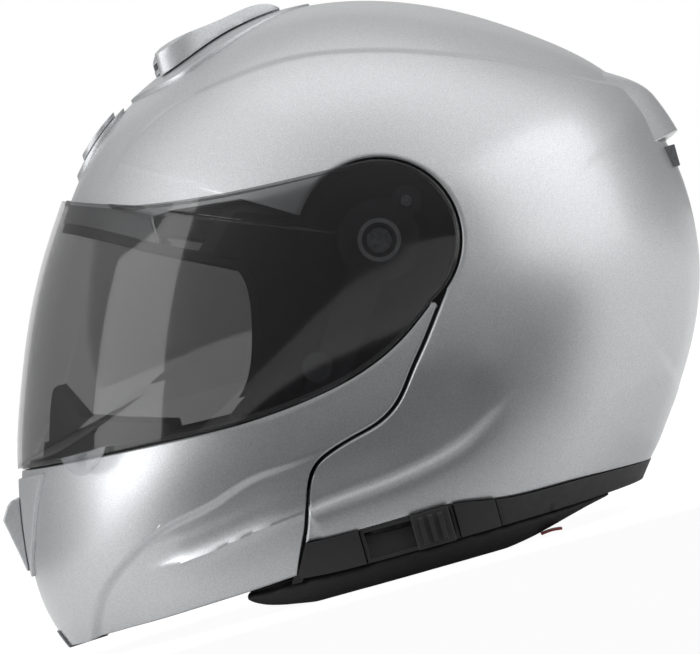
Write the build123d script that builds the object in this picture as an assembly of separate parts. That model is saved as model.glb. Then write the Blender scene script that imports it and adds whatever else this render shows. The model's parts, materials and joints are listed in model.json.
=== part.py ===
from build123d import *
import math
import os

# Modular (flip-up) motorcycle helmet, in millimetres.
# It stands on its neck roll. +Z is up, the face looks along -X, and the wearer's left is -Y.
# The origin is on the ground, below the middle of the helmet's length and width.
# Side outlines are (x, z) points: x is a share of the helmet's length, z a share of its height.

# Driving sizes
HELMET_LENGTH = 354.0
HELMET_HEIGHT = 272.0
SHELL_HALF_WIDTH = 128.0
SHIELD_STANDOFF = 2.0
SHIELD_HALF_WIDTH = SHELL_HALF_WIDTH + SHIELD_STANDOFF
SHELL_WALL = 4.0
SHIELD_WALL = 2.2
LINER_DEPTH = 36.0
COMFORT_DEPTH = 8.5
SEAT_GAP = 0.3
SPLIT_GAP = 1.2
SHIELD_GAP = 1.0
CUT_OVERRUN = 150.0

# The axis that the chin bar and the face shield both turn about
PIVOT_X = 0.079 * HELMET_LENGTH
PIVOT_Z = 0.564 * HELMET_HEIGHT
POD_RADIUS = 36.8
POD_GAP = 1.5
CHIN_FLIP_DEGREES = 72.0

# Stack of plates in each pivot pod, from the recess floor outwards
POD_DEPTH = 20.5
FLOOR_WALL = 3.5
BASE_PLATE = 2.2
PLATE_GAP = 0.4
ARM_PLATE = 3.0
RATCHET_PLATE = 2.8
SCREW_RADIUS = 5.0
RUNNING_GAP = 0.05
FLOOR_OUTER = SHELL_HALF_WIDTH - POD_DEPTH
FLOOR_INNER = FLOOR_OUTER - FLOOR_WALL
ARM_INNER = FLOOR_OUTER + BASE_PLATE + PLATE_GAP
ARM_OUTER = ARM_INNER + ARM_PLATE
RATCHET_OUTER = ARM_OUTER + RATCHET_PLATE

# Outer skin of the shell and chin bar: x share, z share, fullness of the cross-section there
SHELL_SKIN_SHARES = [
    (0.297, -0.018, 2.60), (0.155, -0.165, 2.55), (-0.056, -0.228, 2.50), (-0.268, -0.184, 2.45),
    (-0.424, -0.055, 2.40), (-0.485, 0.110, 2.35), (-0.483, 0.230, 2.30), (-0.466, 0.346, 2.30),
    (-0.427, 0.471, 2.25), (-0.374, 0.629, 2.10), (-0.307, 0.776, 1.95), (-0.239, 0.873, 1.92),
    (-0.157, 0.935, 1.95), (-0.064, 0.979, 2.00), (0.023, 0.996, 2.03), (0.113, 0.987, 2.05),
    (0.257, 0.919, 2.12), (0.361, 0.832, 2.22), (0.446, 0.728, 2.33), (0.487, 0.610, 2.38),
    (0.498, 0.485, 2.42), (0.481, 0.355, 2.50), (0.440, 0.235, 2.56), (0.381, 0.121, 2.60),
]
# Outer skin of the face shield, of which only the front and the two round pods are used
SHIELD_SKIN_SHARES = [
    (0.311, 0, 2.7), (0.155, -0.165, 2.7), (-0.056, -0.228, 2.7), (-0.282, -0.184, 2.7),
    (-0.466, 0, 2.6), (-0.484, 0.221, 2.55), (-0.469, 0.360, 2.5), (-0.438, 0.484, 2.5),
    (-0.401, 0.599, 2.8), (-0.358, 0.702, 2.8), (-0.317, 0.782, 2.8), (-0.240, 0.915, 2.8),
    (-0.113, 1.030, 2.8), (0.056, 1.066, 2.8), (0.226, 0.997, 2.5), (0.367, 0.846, 2.6),
    (0.466, 0.625, 2.7), (0.486, 0.423, 2.7), (0.424, 0.221, 2.7),
]
# How far out each cross-section of a skin lies, as shares of its half width
STATION_SHARES = [0.18, 0.36, 0.53, 0.68, 0.80, 0.89, 0.95, 0.985]

# Edges in side view, each from the front backwards
SHIELD_TOP_SHARES = [
    (-0.340, 0.796), (-0.295, 0.771), (-0.257, 0.749), (-0.205, 0.731), (-0.138, 0.717),
    (-0.070, 0.708), (0.000, 0.703),
]
SHIELD_LOW_SHARES = [
    (-0.510, 0.357), (-0.466, 0.352), (-0.358, 0.342), (-0.262, 0.335), (-0.165, 0.330),
    (-0.065, 0.339), (-0.005, 0.354), (0.074, 0.397), (0.122, 0.442),
]
EYEPORT_TOP_SHARES = [
    (-0.400, 0.780), (-0.312, 0.740), (-0.217, 0.672), (-0.150, 0.628), (-0.101, 0.595),
]
EYEPORT_REAR_SHARES = [
    (-0.101, 0.595), (-0.091, 0.564), (-0.090, 0.529), (-0.094, 0.498), (-0.106, 0.440),
    (-0.123, 0.393), (-0.139, 0.370),
]
SPLIT_SHARES = [
    (0.147, 0.453), (0.125, 0.416), (0.099, 0.372), (0.075, 0.334), (0.047, 0.290),
    (0.016, 0.265), (-0.018, 0.253), (-0.052, 0.240), (-0.078, 0.222), (-0.094, 0.192),
    (-0.103, 0.160), (-0.112, 0.124), (-0.119, 0.103),
]
CHIN_FOOT_SHARES = [
    (-0.560, 0.029), (-0.441, 0.032), (-0.354, 0.036), (-0.283, 0.041), (-0.212, 0.045),
    (-0.142, 0.051),
]
SHELL_FOOT_SHARES = [
    (-0.119, 0.103), (-0.044, 0.100), (0.033, 0.101), (0.088, 0.099), (0.139, 0.087),
    (0.230, 0.081), (0.380, 0.072), (0.560, 0.066),
]
TRIM_FOOT_SHARES = [
    (-0.142, 0.048), (-0.111, 0.044), (-0.050, 0.041), (0.078, 0.041), (0.222, 0.042),
    (0.340, 0.044), (0.560, 0.046),
]
CHIN_REAR_FOOT = (-0.142 * HELMET_LENGTH, 0.051 * HELMET_HEIGHT)


def side(shares, shift_x=0.0, shift_z=0.0):
    """Side-view shares as (x, z) points in millimetres."""
    return [(x * HELMET_LENGTH + shift_x, z * HELMET_HEIGHT + shift_z) for x, z in shares]


def about_pivot(reach, degrees, lift=0.0):
    """The side-view point at a reach from the pivot, on a line that rises by degrees towards the front."""
    turn = math.radians(degrees)
    x = PIVOT_X - reach * math.cos(turn) + lift * math.sin(turn)
    z = PIVOT_Z + reach * math.sin(turn) + lift * math.cos(turn)
    return (x, z)


def skin(outline, half_width, offset=0.0):
    """A closed body whose side view is the outline, drawn in towards the pivot as it nears either side."""
    width = half_width + offset
    shares = [-s for s in reversed(STATION_SHARES)] + [0.0] + STATION_SHARES
    sections = []
    for station in shares:
        points = []
        for x_share, z_share, fullness in outline:
            reach_x = x_share * HELMET_LENGTH - PIVOT_X
            reach_z = z_share * HELMET_HEIGHT - PIVOT_Z
            reach = math.hypot(reach_x, reach_z)
            drawn = (1 - abs(station) ** fullness) ** (1 / fullness) * (reach + offset) / reach
            points.append((PIVOT_X + reach_x * drawn, station * width, PIVOT_Z + reach_z * drawn))
        sections.append(Wire([Edge.make_spline([Vector(*p) for p in points], periodic=True)]))
    return Solid.make_loft(sections)


SKINS = {}


def shell_skin(offset=0.0):
    """The shell's skin, moved out (+) or in (-) by offset."""
    if offset not in SKINS:
        SKINS[offset] = skin(SHELL_SKIN_SHARES, SHELL_HALF_WIDTH, offset)
    return SKINS[offset]


def flat_face(*runs):
    """A face in the XZ plane from runs of points, joined end to end and closed.

    A run is ("line", points), ("curve", points) or ("arc", [start, middle, end])."""
    edges = []
    last = None
    for kind, points in runs:
        path = [Vector(x, 0, z) for x, z in points]
        if last is None:
            first = path[0]
        elif (path[0] - last).length > SEAT_GAP / HELMET_LENGTH:
            edges.append(Edge.make_line(last, path[0]))
        if kind == "curve":
            edges.append(Edge.make_spline(path))
        elif kind == "arc":
            edges.append(Edge.make_three_point_arc(*path))
        else:
            edges += [Edge.make_line(a, b) for a, b in zip(path, path[1:])]
        last = path[-1]
    edges.append(Edge.make_line(last, first))
    return Face(Wire(edges))


def prism(face, y_low=-CUT_OVERRUN, y_high=CUT_OVERRUN):
    """A side-view face carried across the helmet from y_low to y_high."""
    return extrude(face.moved(Pos(0, y_low, 0)), amount=y_high - y_low, dir=(0, 1, 0))


def side_box(x_low, x_high, z_low, z_high, y_low=-CUT_OVERRUN, y_high=CUT_OVERRUN):
    """A plain box given by its limits."""
    middle = Pos((x_low + x_high) / 2, (y_low + y_high) / 2, (z_low + z_high) / 2)
    return middle * Box(x_high - x_low, y_high - y_low, z_high - z_low)


def cross_rod(x, z, radius, y_low=-CUT_OVERRUN, y_high=CUT_OVERRUN):
    """A round rod that lies across the helmet, along Y."""
    return Pos(x, (y_low + y_high) / 2, z) * Rot(90, 0, 0) * Cylinder(radius, y_high - y_low)


def plan_prism(points, z_low, z_high):
    """A plan-view outline of (x, y) points carried up from z_low to z_high."""
    path = Wire([Edge.make_spline([Vector(x, y, z_low) for x, y in points], periodic=True)])
    return extrude(Face(path), amount=z_high - z_low, dir=(0, 0, 1))


def layer(outer, inner, *bounds):
    """The layer between two offsets of the shell's skin, kept inside each of the bounds."""
    kept = shell_skin(outer)
    for bound in bounds:
        kept = kept & bound
    return kept - shell_skin(inner)


def other_side(shape):
    """The same piece on the wearer's other side."""
    return mirror(shape, about=Plane.XZ)


def both_sides(shape):
    """A piece and its twin on the wearer's other side."""
    return shape + other_side(shape)


NODES = {}


def keep(name, shape):
    """Name a finished piece, and keep its solids as one node."""
    solids = shape.solids()
    NODES[name] = solids[0] if len(solids) == 1 else Compound(children=list(solids))


# Outer shell
ARM_DEGREES = -54.0
ARM_REACH = 92.0
ARM_HALF_WIDTH = 8.5
RECESS_CLEARANCE = 1.5
RECESS_REACH = 95.0
RECESS_FRONT_X = -0.200 * HELMET_LENGTH
RECESS_LOW_Z = 0.222 * HELMET_HEIGHT
FLOOR_FRONT_X = -0.150 * HELMET_LENGTH
FLOOR_LOW_Z = 0.235 * HELMET_HEIGHT
RECESS_SPLIT_SHARES = SPLIT_SHARES[:-4]
FLOOR_REAR_X = RECESS_SPLIT_SHARES[-1][0] * HELMET_LENGTH
FLOOR_TOP_FRONT = (-0.186 * HELMET_LENGTH, 0.652 * HELMET_HEIGHT)


def shell_face():
    """The shell's side view: above the eyeport, behind the split line and above the trim."""
    return flat_face(
        ("curve", side(EYEPORT_TOP_SHARES)),
        ("line", [(PIVOT_X, PIVOT_Z)]),
        ("curve", side(SPLIT_SHARES)),
        ("curve", side(SHELL_FOOT_SHARES)),
        ("line", [(HELMET_LENGTH, 0), (HELMET_LENGTH, 2 * HELMET_HEIGHT)]),
        ("line", [(-HELMET_LENGTH, 2 * HELMET_HEIGHT)]),
        ("line", [(-HELMET_LENGTH, EYEPORT_TOP_SHARES[0][1] * HELMET_HEIGHT)]),
    )


def recess_face(grown=0.0):
    """The sunk field under the shield and chin bar that the arms swing over, without its round part."""
    flipped = ARM_DEGREES + CHIN_FLIP_DEGREES
    lift = ARM_HALF_WIDTH + RECESS_CLEARANCE + grown
    high = about_pivot(RECESS_REACH, flipped, lift)
    split = side(RECESS_SPLIT_SHARES, grown, -grown)
    return flat_face(
        ("line", [about_pivot(0, flipped, lift), high, (RECESS_FRONT_X, high[1])]),
        ("line", [(RECESS_FRONT_X, RECESS_LOW_Z - grown), split[-1]]),
        ("curve", split[::-1]),
    )


def floor_limit_face():
    """What the recess floor may fill: all behind the eyeport's rear edge, to a little below the split."""
    return flat_face(
        ("line", [(PIVOT_X, 2 * HELMET_HEIGHT), (FLOOR_TOP_FRONT[0], 2 * HELMET_HEIGHT)]),
        ("line", [FLOOR_TOP_FRONT]),
        ("line", side(EYEPORT_TOP_SHARES[-2:-1])),
        ("curve", side(EYEPORT_REAR_SHARES)),
        ("line", [(FLOOR_FRONT_X, FLOOR_LOW_Z), (FLOOR_REAR_X, FLOOR_LOW_Z)]),
        ("line", [(FLOOR_REAR_X, 0), (HELMET_LENGTH, 0)]),
        ("line", [(HELMET_LENGTH, 2 * HELMET_HEIGHT)]),
    )


def recess(grown, y_low, y_high):
    """The recess of the left side between two distances from the middle plane."""
    field = prism(recess_face(grown), -y_high, -y_low)
    return field + cross_rod(PIVOT_X, PIVOT_Z, POD_RADIUS + POD_GAP + grown, -y_high, -y_low)


def make_outer_shell():
    sunk = recess(0, FLOOR_OUTER, CUT_OVERRUN)
    wall = layer(0, -SHELL_WALL, prism(shell_face()))
    keep("outer_shell", wall - both_sides(sunk))
    pan = recess(FLOOR_WALL, FLOOR_INNER, CUT_OVERRUN) & prism(floor_limit_face())
    pan = (pan - sunk) & shell_skin(-SHELL_WALL - SEAT_GAP)
    pan = pan - cross_rod(PIVOT_X, PIVOT_Z, SCREW_RADIUS)
    keep("pivot_pan_left", pan)
    keep("pivot_pan_right", other_side(pan))


# Chin bar and the two arms that carry it
ARM_TIP_RADIUS = 11.0
ARM_HUB_RADIUS = 15.0
PAD_RADIUS = 12.0
CAP_REACH = 65.0
CAP_DEGREES = -48.5
CAP_RADIUS = 7.0
CAP_HEIGHT = 2.4
CHIN_SHIFT = 0.5 * SHIELD_GAP


def chin_face():
    """The chin bar's side view: under the shield, in front of the split line, with a wedge under the pod."""
    return flat_face(
        ("curve", side(SHIELD_LOW_SHARES, CHIN_SHIFT, -SHIELD_GAP)),
        ("line", [(PIVOT_X, PIVOT_Z)]),
        ("curve", side(SPLIT_SHARES, -SPLIT_GAP, SPLIT_GAP)),
        ("line", [(CHIN_REAR_FOOT[0] - SPLIT_GAP, CHIN_REAR_FOOT[1])]),
        ("curve", side(CHIN_FOOT_SHARES)[::-1]),
    )


def arm_outline(radius):
    """The arm's side view, from the pivot hub to the pad where it meets the chin bar."""
    tip = about_pivot(ARM_REACH, ARM_DEGREES)
    hub = cross_rod(PIVOT_X, PIVOT_Z, ARM_HUB_RADIUS)
    pad = cross_rod(tip[0], tip[1], radius)
    upper = [about_pivot(reach, ARM_DEGREES, ARM_HALF_WIDTH) for reach in (0, ARM_REACH)]
    lower = [about_pivot(reach, ARM_DEGREES, -ARM_HALF_WIDTH) for reach in (ARM_REACH, 0)]
    return hub + pad + prism(flat_face(("line", upper + lower)))


def make_chin_bar():
    ear_reach = RELEASE_HALF_WIDTH + RELEASE_GAP + RELEASE_EAR
    wall = layer(0, -SHELL_WALL, prism(chin_face()))
    wall = wall - cross_rod(PIVOT_X, PIVOT_Z, POD_RADIUS + POD_GAP)
    tip = about_pivot(ARM_REACH, ARM_DEGREES)
    pad = cross_rod(tip[0], tip[1], PAD_RADIUS, -CUT_OVERRUN, -ARM_OUTER) & shell_skin(-SHELL_WALL / 2)
    bar = wall + both_sides(pad & prism(chin_face())) - release_notch() + release_ears()
    bore = cross_rod(RELEASE_X, RELEASE_Z, RELEASE_PIN_RADIUS + RUNNING_GAP)
    keep("chin_bar", bar - (bore & side_box(-HELMET_LENGTH, 0, 0, HELMET_HEIGHT, -ear_reach, ear_reach)))


def make_chin_arms():
    arm = arm_outline(ARM_TIP_RADIUS) & side_box(
        -HELMET_LENGTH, HELMET_LENGTH, 0, HELMET_HEIGHT, -ARM_OUTER, -ARM_INNER
    )
    arm = arm - cross_rod(PIVOT_X, PIVOT_Z, SCREW_RADIUS + RUNNING_GAP)
    cap_x, cap_z = about_pivot(CAP_REACH, CAP_DEGREES)
    cap = cross_rod(cap_x, cap_z, CAP_RADIUS, -ARM_OUTER - CAP_HEIGHT, -ARM_OUTER)
    keep("chin_pivot_arm_left", arm)
    keep("chin_pivot_arm_right", other_side(arm))
    keep("arm_caps", both_sides(cap))


# Face shield, its turning rings and its lift tab
RATCHET_RADIUS = 19.0
RATCHET_LOBE_DEGREES = 140.0
RATCHET_LOBE_REACH = 22.0
RATCHET_LOBE_RADIUS = 7.0
BOSS_RADIUS = 8.0
BOSS_BORE = 6.2
BOSS_HEIGHT = 6.0
RING_RADIUS = 10.0
SCREW_HEAD_RADIUS = 5.8
SCREW_HEAD = 2.4
LOBE_SCREW_RADIUS = 2.6
LOBE_SCREW_HEIGHT = 1.2
TAB_SHARES = [
    (-0.400, 0.352), (-0.397, 0.337), (-0.389, 0.322), (-0.378, 0.314), (-0.364, 0.317), (-0.345, 0.336),
    (-0.337, 0.352),
]
TAB_THICKNESS = 2.6
TAB_SIDE = 40.0
BASE_RADIUS = 34.0
BASE_FRONT_SHARES = [
    (0.019, 0.665), (-0.005, 0.639), (-0.019, 0.606), (-0.023, 0.563), (-0.020, 0.526), (-0.029, 0.491),
    (-0.052, 0.443), (-0.078, 0.399), (-0.096, 0.362),
]
BASE_REAR_SHARES = [(-0.090, 0.300), (0.000, 0.300), (0.100, 0.420)]


def shield_face():
    """The shield's side view: the window, run back into the round pod at the pivot."""
    top = (PIVOT_X, PIVOT_Z + POD_RADIUS)
    rear = (PIVOT_X + POD_RADIUS, PIVOT_Z)
    low_x, low_z = side(SHIELD_LOW_SHARES)[-1]
    turn = math.atan2(low_z - PIVOT_Z, low_x - PIVOT_X)
    low = (PIVOT_X + POD_RADIUS * math.cos(turn), PIVOT_Z + POD_RADIUS * math.sin(turn))
    corner = math.pi / 4
    upper = (PIVOT_X + POD_RADIUS * math.cos(corner), PIVOT_Z + POD_RADIUS * math.sin(corner))
    lower = (PIVOT_X + POD_RADIUS * math.cos(turn / 2), PIVOT_Z + POD_RADIUS * math.sin(turn / 2))
    return flat_face(
        ("curve", side(SHIELD_TOP_SHARES) + [top]),
        ("arc", [top, upper, rear]),
        ("arc", [rear, lower, low]),
        ("curve", [low] + side(SHIELD_LOW_SHARES)[-2::-1]),
    )


def make_face_shield():
    inner = skin(SHIELD_SKIN_SHARES, SHIELD_HALF_WIDTH, -SHIELD_WALL)
    outer = skin(SHIELD_SKIN_SHARES, SHIELD_HALF_WIDTH)
    field = prism(shield_face())
    window = (outer & field) - (inner & field)
    keep("face_shield", window)
    low = -CUT_OVERRUN
    ring = cross_rod(PIVOT_X, PIVOT_Z, RING_RADIUS, low, -RATCHET_OUTER - SEAT_GAP)
    ring = (ring & inner) - cross_rod(PIVOT_X, PIVOT_Z, BOSS_RADIUS + RUNNING_GAP)
    keep("shield_pivot_rings", both_sides(ring))
    proud = skin(SHIELD_SKIN_SHARES, SHIELD_HALF_WIDTH, TAB_THICKNESS)
    tab_outline = flat_face(("curve", side(TAB_SHARES)))
    tab = (proud & prism(tab_outline, low, -TAB_SIDE)) - outer - shell_skin(SEAT_GAP)
    keep("shield_lift_tab", max(tab.solids(), key=lambda s: s.volume))


def make_pivot_hardware():
    """Base plates on the recess floor, the shield's ratchet plates on the arms, and the pivot screws."""
    low = -CUT_OVERRUN
    front = ("curve", side(BASE_FRONT_SHARES))
    rear = ("line", side(BASE_REAR_SHARES))
    plate = cross_rod(PIVOT_X, PIVOT_Z, BASE_RADIUS, -FLOOR_OUTER - BASE_PLATE, -FLOOR_OUTER)
    plate = plate + prism(flat_face(front, rear), -FLOOR_OUTER - BASE_PLATE, -FLOOR_OUTER)
    plate = plate - cross_rod(PIVOT_X, PIVOT_Z, SCREW_RADIUS)
    keep("pivot_base_left", plate)
    keep("pivot_base_right", other_side(plate))
    lobe_x, lobe_z = about_pivot(RATCHET_LOBE_REACH, RATCHET_LOBE_DEGREES)
    ratchet = cross_rod(PIVOT_X, PIVOT_Z, RATCHET_RADIUS, -RATCHET_OUTER, -ARM_OUTER)
    ratchet = ratchet + cross_rod(lobe_x, lobe_z, RATCHET_LOBE_RADIUS, -RATCHET_OUTER, -ARM_OUTER)
    ratchet = ratchet + cross_rod(PIVOT_X, PIVOT_Z, BOSS_RADIUS, -RATCHET_OUTER - BOSS_HEIGHT, -ARM_OUTER)
    ratchet = ratchet - cross_rod(PIVOT_X, PIVOT_Z, BOSS_BORE, low, -RATCHET_OUTER)
    ratchet = ratchet - cross_rod(PIVOT_X, PIVOT_Z, SCREW_RADIUS + RUNNING_GAP)
    screw_top = -RATCHET_OUTER - LOBE_SCREW_HEIGHT
    lobe_screw = cross_rod(lobe_x, lobe_z, LOBE_SCREW_RADIUS, screw_top, -RATCHET_OUTER)
    keep("shield_ratchet_left", ratchet)
    keep("shield_ratchet_right", other_side(ratchet))
    keep("ratchet_screws", both_sides(lobe_screw))
    head_seat = -RATCHET_OUTER - SEAT_GAP
    screw = cross_rod(PIVOT_X, PIVOT_Z, SCREW_RADIUS, head_seat, -FLOOR_INNER)
    screw = screw + cross_rod(PIVOT_X, PIVOT_Z, SCREW_HEAD_RADIUS, head_seat - SCREW_HEAD, head_seat)
    keep("pivot_screw_left", screw)
    keep("pivot_screw_right", other_side(screw))


# Energy-absorbing liner, comfort padding and the sun visor that drops between liner and shell
LINER_OUTER = -SHELL_WALL - SEAT_GAP
LINER_INNER = LINER_OUTER - LINER_DEPTH
COMFORT_OUTER = LINER_INNER - SEAT_GAP
LINER_FOOT_Z = 0.064 * HELMET_HEIGHT
LINER_EYEPORT_SHARES = [(-0.400, 0.800), (-0.312, 0.757), (-0.217, 0.690), (-0.120, 0.630), (-0.083, 0.590)]
LINER_FRONT_SHARES = [
    (-0.083, 0.590), (-0.076, 0.545), (-0.080, 0.480), (-0.090, 0.400), (-0.078, 0.310), (-0.060, 0.230),
    (-0.085, 0.150), (-0.110, 0.064),
]
VISOR_X = 0.008 * HELMET_LENGTH
VISOR_Z = 0.490 * HELMET_HEIGHT
VISOR_RADIUS = 122.0
VISOR_HALF_WIDTH = 97.0
VISOR_FULLNESS = 2.4
VISOR_WALL = 2.0
VISOR_SWING_DEGREES = 50.0
VISOR_HUB_RADIUS = 10.0
VISOR_PIN_RADIUS = 3.0
VISOR_SLOT_INNER = 2.0
VISOR_SLOT_OUTER = 9.0
VISOR_SLOT_DEGREES = (-12.0, 104.0)
VISOR_SLOT_STEPS = 4
VISOR_LOW_SHARES = [
    (-0.360, 0.448), (-0.332, 0.449), (-0.280, 0.456), (-0.200, 0.470), (-0.126, 0.477), (-0.060, 0.469),
    (-0.008, 0.456),
]
VISOR_TOP_SHARES = [(0.012, 0.526), (-0.050, 0.570), (-0.120, 0.640), (-0.180, 0.740), (-0.245, 0.850)]
POCKET_SHARES = [(-0.130, 0.090), (-0.034, 0.222)]
HOOK_INNER = 99.4
PIN_OVERHANG = 3.0


def visor_body(offset):
    """The barrel whose surface is the sun visor's, moved out (+) or in (-) by offset."""
    radius = VISOR_RADIUS + offset
    width = VISOR_HALF_WIDTH + offset
    shares = [-s for s in reversed(STATION_SHARES)] + [0.0] + STATION_SHARES
    profile = []
    for share in shares:
        reach = radius * (1 - abs(share) ** VISOR_FULLNESS) ** (1 / VISOR_FULLNESS)
        profile.append(Vector(reach, share * width, 0))
    ends = [Vector(0, profile[-1].Y, 0), Vector(0, profile[0].Y, 0)]
    edges = [Edge.make_spline(profile), Edge.make_line(profile[-1], ends[0])]
    edges += [Edge.make_line(ends[0], ends[1]), Edge.make_line(ends[1], profile[0])]
    return Pos(VISOR_X, 0, VISOR_Z) * revolve(Face(Wire(edges)), Axis.Y)


def visor_slot():
    """The room that the sun visor sweeps, from lowered to raised, with its clearances."""
    reach = VISOR_RADIUS + 2 * VISOR_SLOT_OUTER
    rays = []
    low, high = VISOR_SLOT_DEGREES
    for step in range(VISOR_SLOT_STEPS + 1):
        turn = math.radians(low + (high - low) * step / VISOR_SLOT_STEPS)
        rays.append((VISOR_X - reach * math.cos(turn), VISOR_Z + reach * math.sin(turn)))
    hub = 2 * VISOR_HUB_RADIUS
    start = [(VISOR_X, VISOR_Z - hub), (rays[0][0], rays[0][1] - hub)]
    field = prism(flat_face(("line", start), ("line", rays), ("line", [(VISOR_X + hub, rays[-1][1])]),
                            ("line", [(VISOR_X + hub, VISOR_Z)])))
    return (field - visor_body(-VISOR_WALL - VISOR_SLOT_INNER)) & visor_body(VISOR_SLOT_OUTER)


def liner_face():
    """The liner's side view: above the eyeport, and behind the cheek pads' front."""
    return flat_face(
        ("curve", side(LINER_EYEPORT_SHARES)),
        ("curve", side(LINER_FRONT_SHARES)),
        ("line", [(HELMET_LENGTH, LINER_FOOT_Z), (HELMET_LENGTH, 2 * HELMET_HEIGHT)]),
        ("line", [(-HELMET_LENGTH, 2 * HELMET_HEIGHT)]),
        ("line", [(-HELMET_LENGTH, LINER_EYEPORT_SHARES[0][1] * HELMET_HEIGHT)]),
    )


def make_eps_liner():
    liner = layer(LINER_OUTER, LINER_INNER, prism(liner_face()))
    liner = liner - both_sides(recess(FLOOR_WALL + SEAT_GAP, FLOOR_INNER - SEAT_GAP, CUT_OVERRUN))
    liner = liner - visor_slot()
    (low_x, low_z), (high_x, high_z) = side(POCKET_SHARES)
    pocket = side_box(low_x, high_x, low_z, high_z, -SHELL_HALF_WIDTH, -HOOK_INNER + PIN_OVERHANG)
    liner = liner - both_sides(pocket)
    anchor = Pos(STRAP_X, -STRAP_ANCHOR_Y, LINER_FOOT_Z) * Cylinder(RIVET_RADIUS + SEAT_GAP, 2 * RIVET_LENGTH)
    liner = liner - both_sides(anchor)
    keep("eps_liner", max(liner.solids(), key=lambda s: s.volume))


CROWN_FACE_SHARES = [
    (-0.260, 0.830), (-0.100, 0.630), (-0.050, 0.520), (0.080, 0.450), (0.300, 0.420), (0.520, 0.420),
    (0.520, 1.100), (-0.300, 1.100),
]
CHEEK_SHARES = [
    (-0.165, 0.200), (-0.152, 0.330), (-0.060, 0.405), (0.050, 0.415), (0.115, 0.330), (0.125, 0.180),
    (0.080, 0.080), (-0.040, 0.067), (-0.130, 0.085),
]
CHEEK_CROWN = [(52.0, 0.80), (55.0, 0.92), (62.0, 1.0), (100.0, 1.0)]
NECK_BOTTOM_FRONT_SHARES = [(-0.222, 0.045), (-0.200, 0.022), (-0.165, 0.008), (-0.130, 0.0)]
NECK_BOTTOM_REAR_SHARES = [(0.135, 0.0), (0.190, 0.012), (0.245, 0.028), (0.285, 0.036), (0.325, 0.045)]
NECK_ROLL_OUTER = -6.0
NECK_ROLL_DEPTH = 36.0
NECK_ROLL_TOP = 0.045 * HELMET_HEIGHT
PULL_TAB_X = (0.178 * HELMET_LENGTH, 0.218 * HELMET_LENGTH)
PULL_TAB_Y = (72.0, 86.0)
PULL_TAB_WALL = 1.2


def crowned_pad(shares, crown):
    """A padded block: the side outline, shrunk towards its middle as it nears its inner face."""
    middle_x = sum(x for x, z in shares) / len(shares) * HELMET_LENGTH
    middle_z = sum(z for x, z in shares) / len(shares) * HELMET_HEIGHT
    sections = []
    for y, scale in crown:
        points = []
        for x, z in side(shares):
            points.append(Vector(middle_x + (x - middle_x) * scale, -y, middle_z + (z - middle_z) * scale))
        sections.append(Wire([Edge.make_spline(points, periodic=True)]))
    return Solid.make_loft(sections)


def make_padding():
    crown_field = prism(flat_face(("line", side(CROWN_FACE_SHARES))))
    crown = layer(COMFORT_OUTER, COMFORT_OUTER - COMFORT_DEPTH, crown_field)
    keep("crown_liner", crown)
    cheek = crowned_pad(CHEEK_SHARES, CHEEK_CROWN) & shell_skin(COMFORT_OUTER)
    keep("cheek_pad_left", cheek)
    keep("cheek_pad_right", other_side(cheek))
    lens = flat_face(
        ("curve", side(NECK_BOTTOM_FRONT_SHARES)),
        ("line", side(NECK_BOTTOM_REAR_SHARES[:1])),
        ("curve", side(NECK_BOTTOM_REAR_SHARES)),
    )
    keep("neck_roll", layer(NECK_ROLL_OUTER, NECK_ROLL_OUTER - NECK_ROLL_DEPTH, prism(lens)))


def make_sun_visor():
    outline = flat_face(
        ("curve", side(VISOR_LOW_SHARES)),
        ("line", side(VISOR_TOP_SHARES[:1])),
        ("curve", side(VISOR_TOP_SHARES)),
    )
    field = prism(outline) + cross_rod(VISOR_X, VISOR_Z, VISOR_HUB_RADIUS)
    visor = (field - visor_body(-VISOR_WALL)) & visor_body(0)
    visor = visor - cross_rod(VISOR_X, VISOR_Z, VISOR_PIN_RADIUS + RUNNING_GAP)
    keep("sun_visor", visor)
    slot_half_width = VISOR_HALF_WIDTH - VISOR_WALL - VISOR_SLOT_INNER
    inner_end = slot_half_width * STATION_SHARES[-1] + SEAT_GAP
    pin = cross_rod(VISOR_X, VISOR_Z, VISOR_PIN_RADIUS, -FLOOR_INNER, -inner_end)
    keep("sun_visor_pins", both_sides(pin))


# Bottom trim, clip covers, and the slider that works the sun visor
TRIM_PROUD = 0.8
CLIP_PROUD = 2.6
FRONT_CLIP_X = (-0.138 * HELMET_LENGTH, -0.049 * HELMET_LENGTH)
TRACK_X = (-0.048 * HELMET_LENGTH, 0.078 * HELMET_LENGTH)
REAR_CLIP_X = (0.079 * HELMET_LENGTH, 0.133 * HELMET_LENGTH)
TRIM_START_X = 0.134 * HELMET_LENGTH
TRIM_REAR_X = HELMET_LENGTH
TRACK_FRAME = 1.8
TRACK_FLOOR_Y = 107.6
TRACK_Z = (0.048 * HELMET_HEIGHT, 0.093 * HELMET_HEIGHT)
SLIDER_TRAVEL = 22.0
SLIDER_GAP = 0.4
SLIDER_FLOOR_GAP = 1.5
SLIDER_PLATE_Y = (114.2, 117.0)
SLIDER_PLATE_MARGIN = 2.0
SLIDER_RIBS = 3
SLIDER_RIB = 2.0
SLIDER_RIB_HEIGHT = 1.6


def trim_face():
    top = side(SHELL_FOOT_SHARES)
    bottom = side(TRIM_FOOT_SHARES)
    return flat_face(("curve", top), ("curve", bottom[::-1]))


def trim_piece(proud, x_low, x_high, y_low=-CUT_OVERRUN, y_high=CUT_OVERRUN):
    box = side_box(x_low, x_high, 0, HELMET_HEIGHT, y_low, y_high)
    return layer(proud, -SHELL_WALL, prism(trim_face()) & box)


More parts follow.
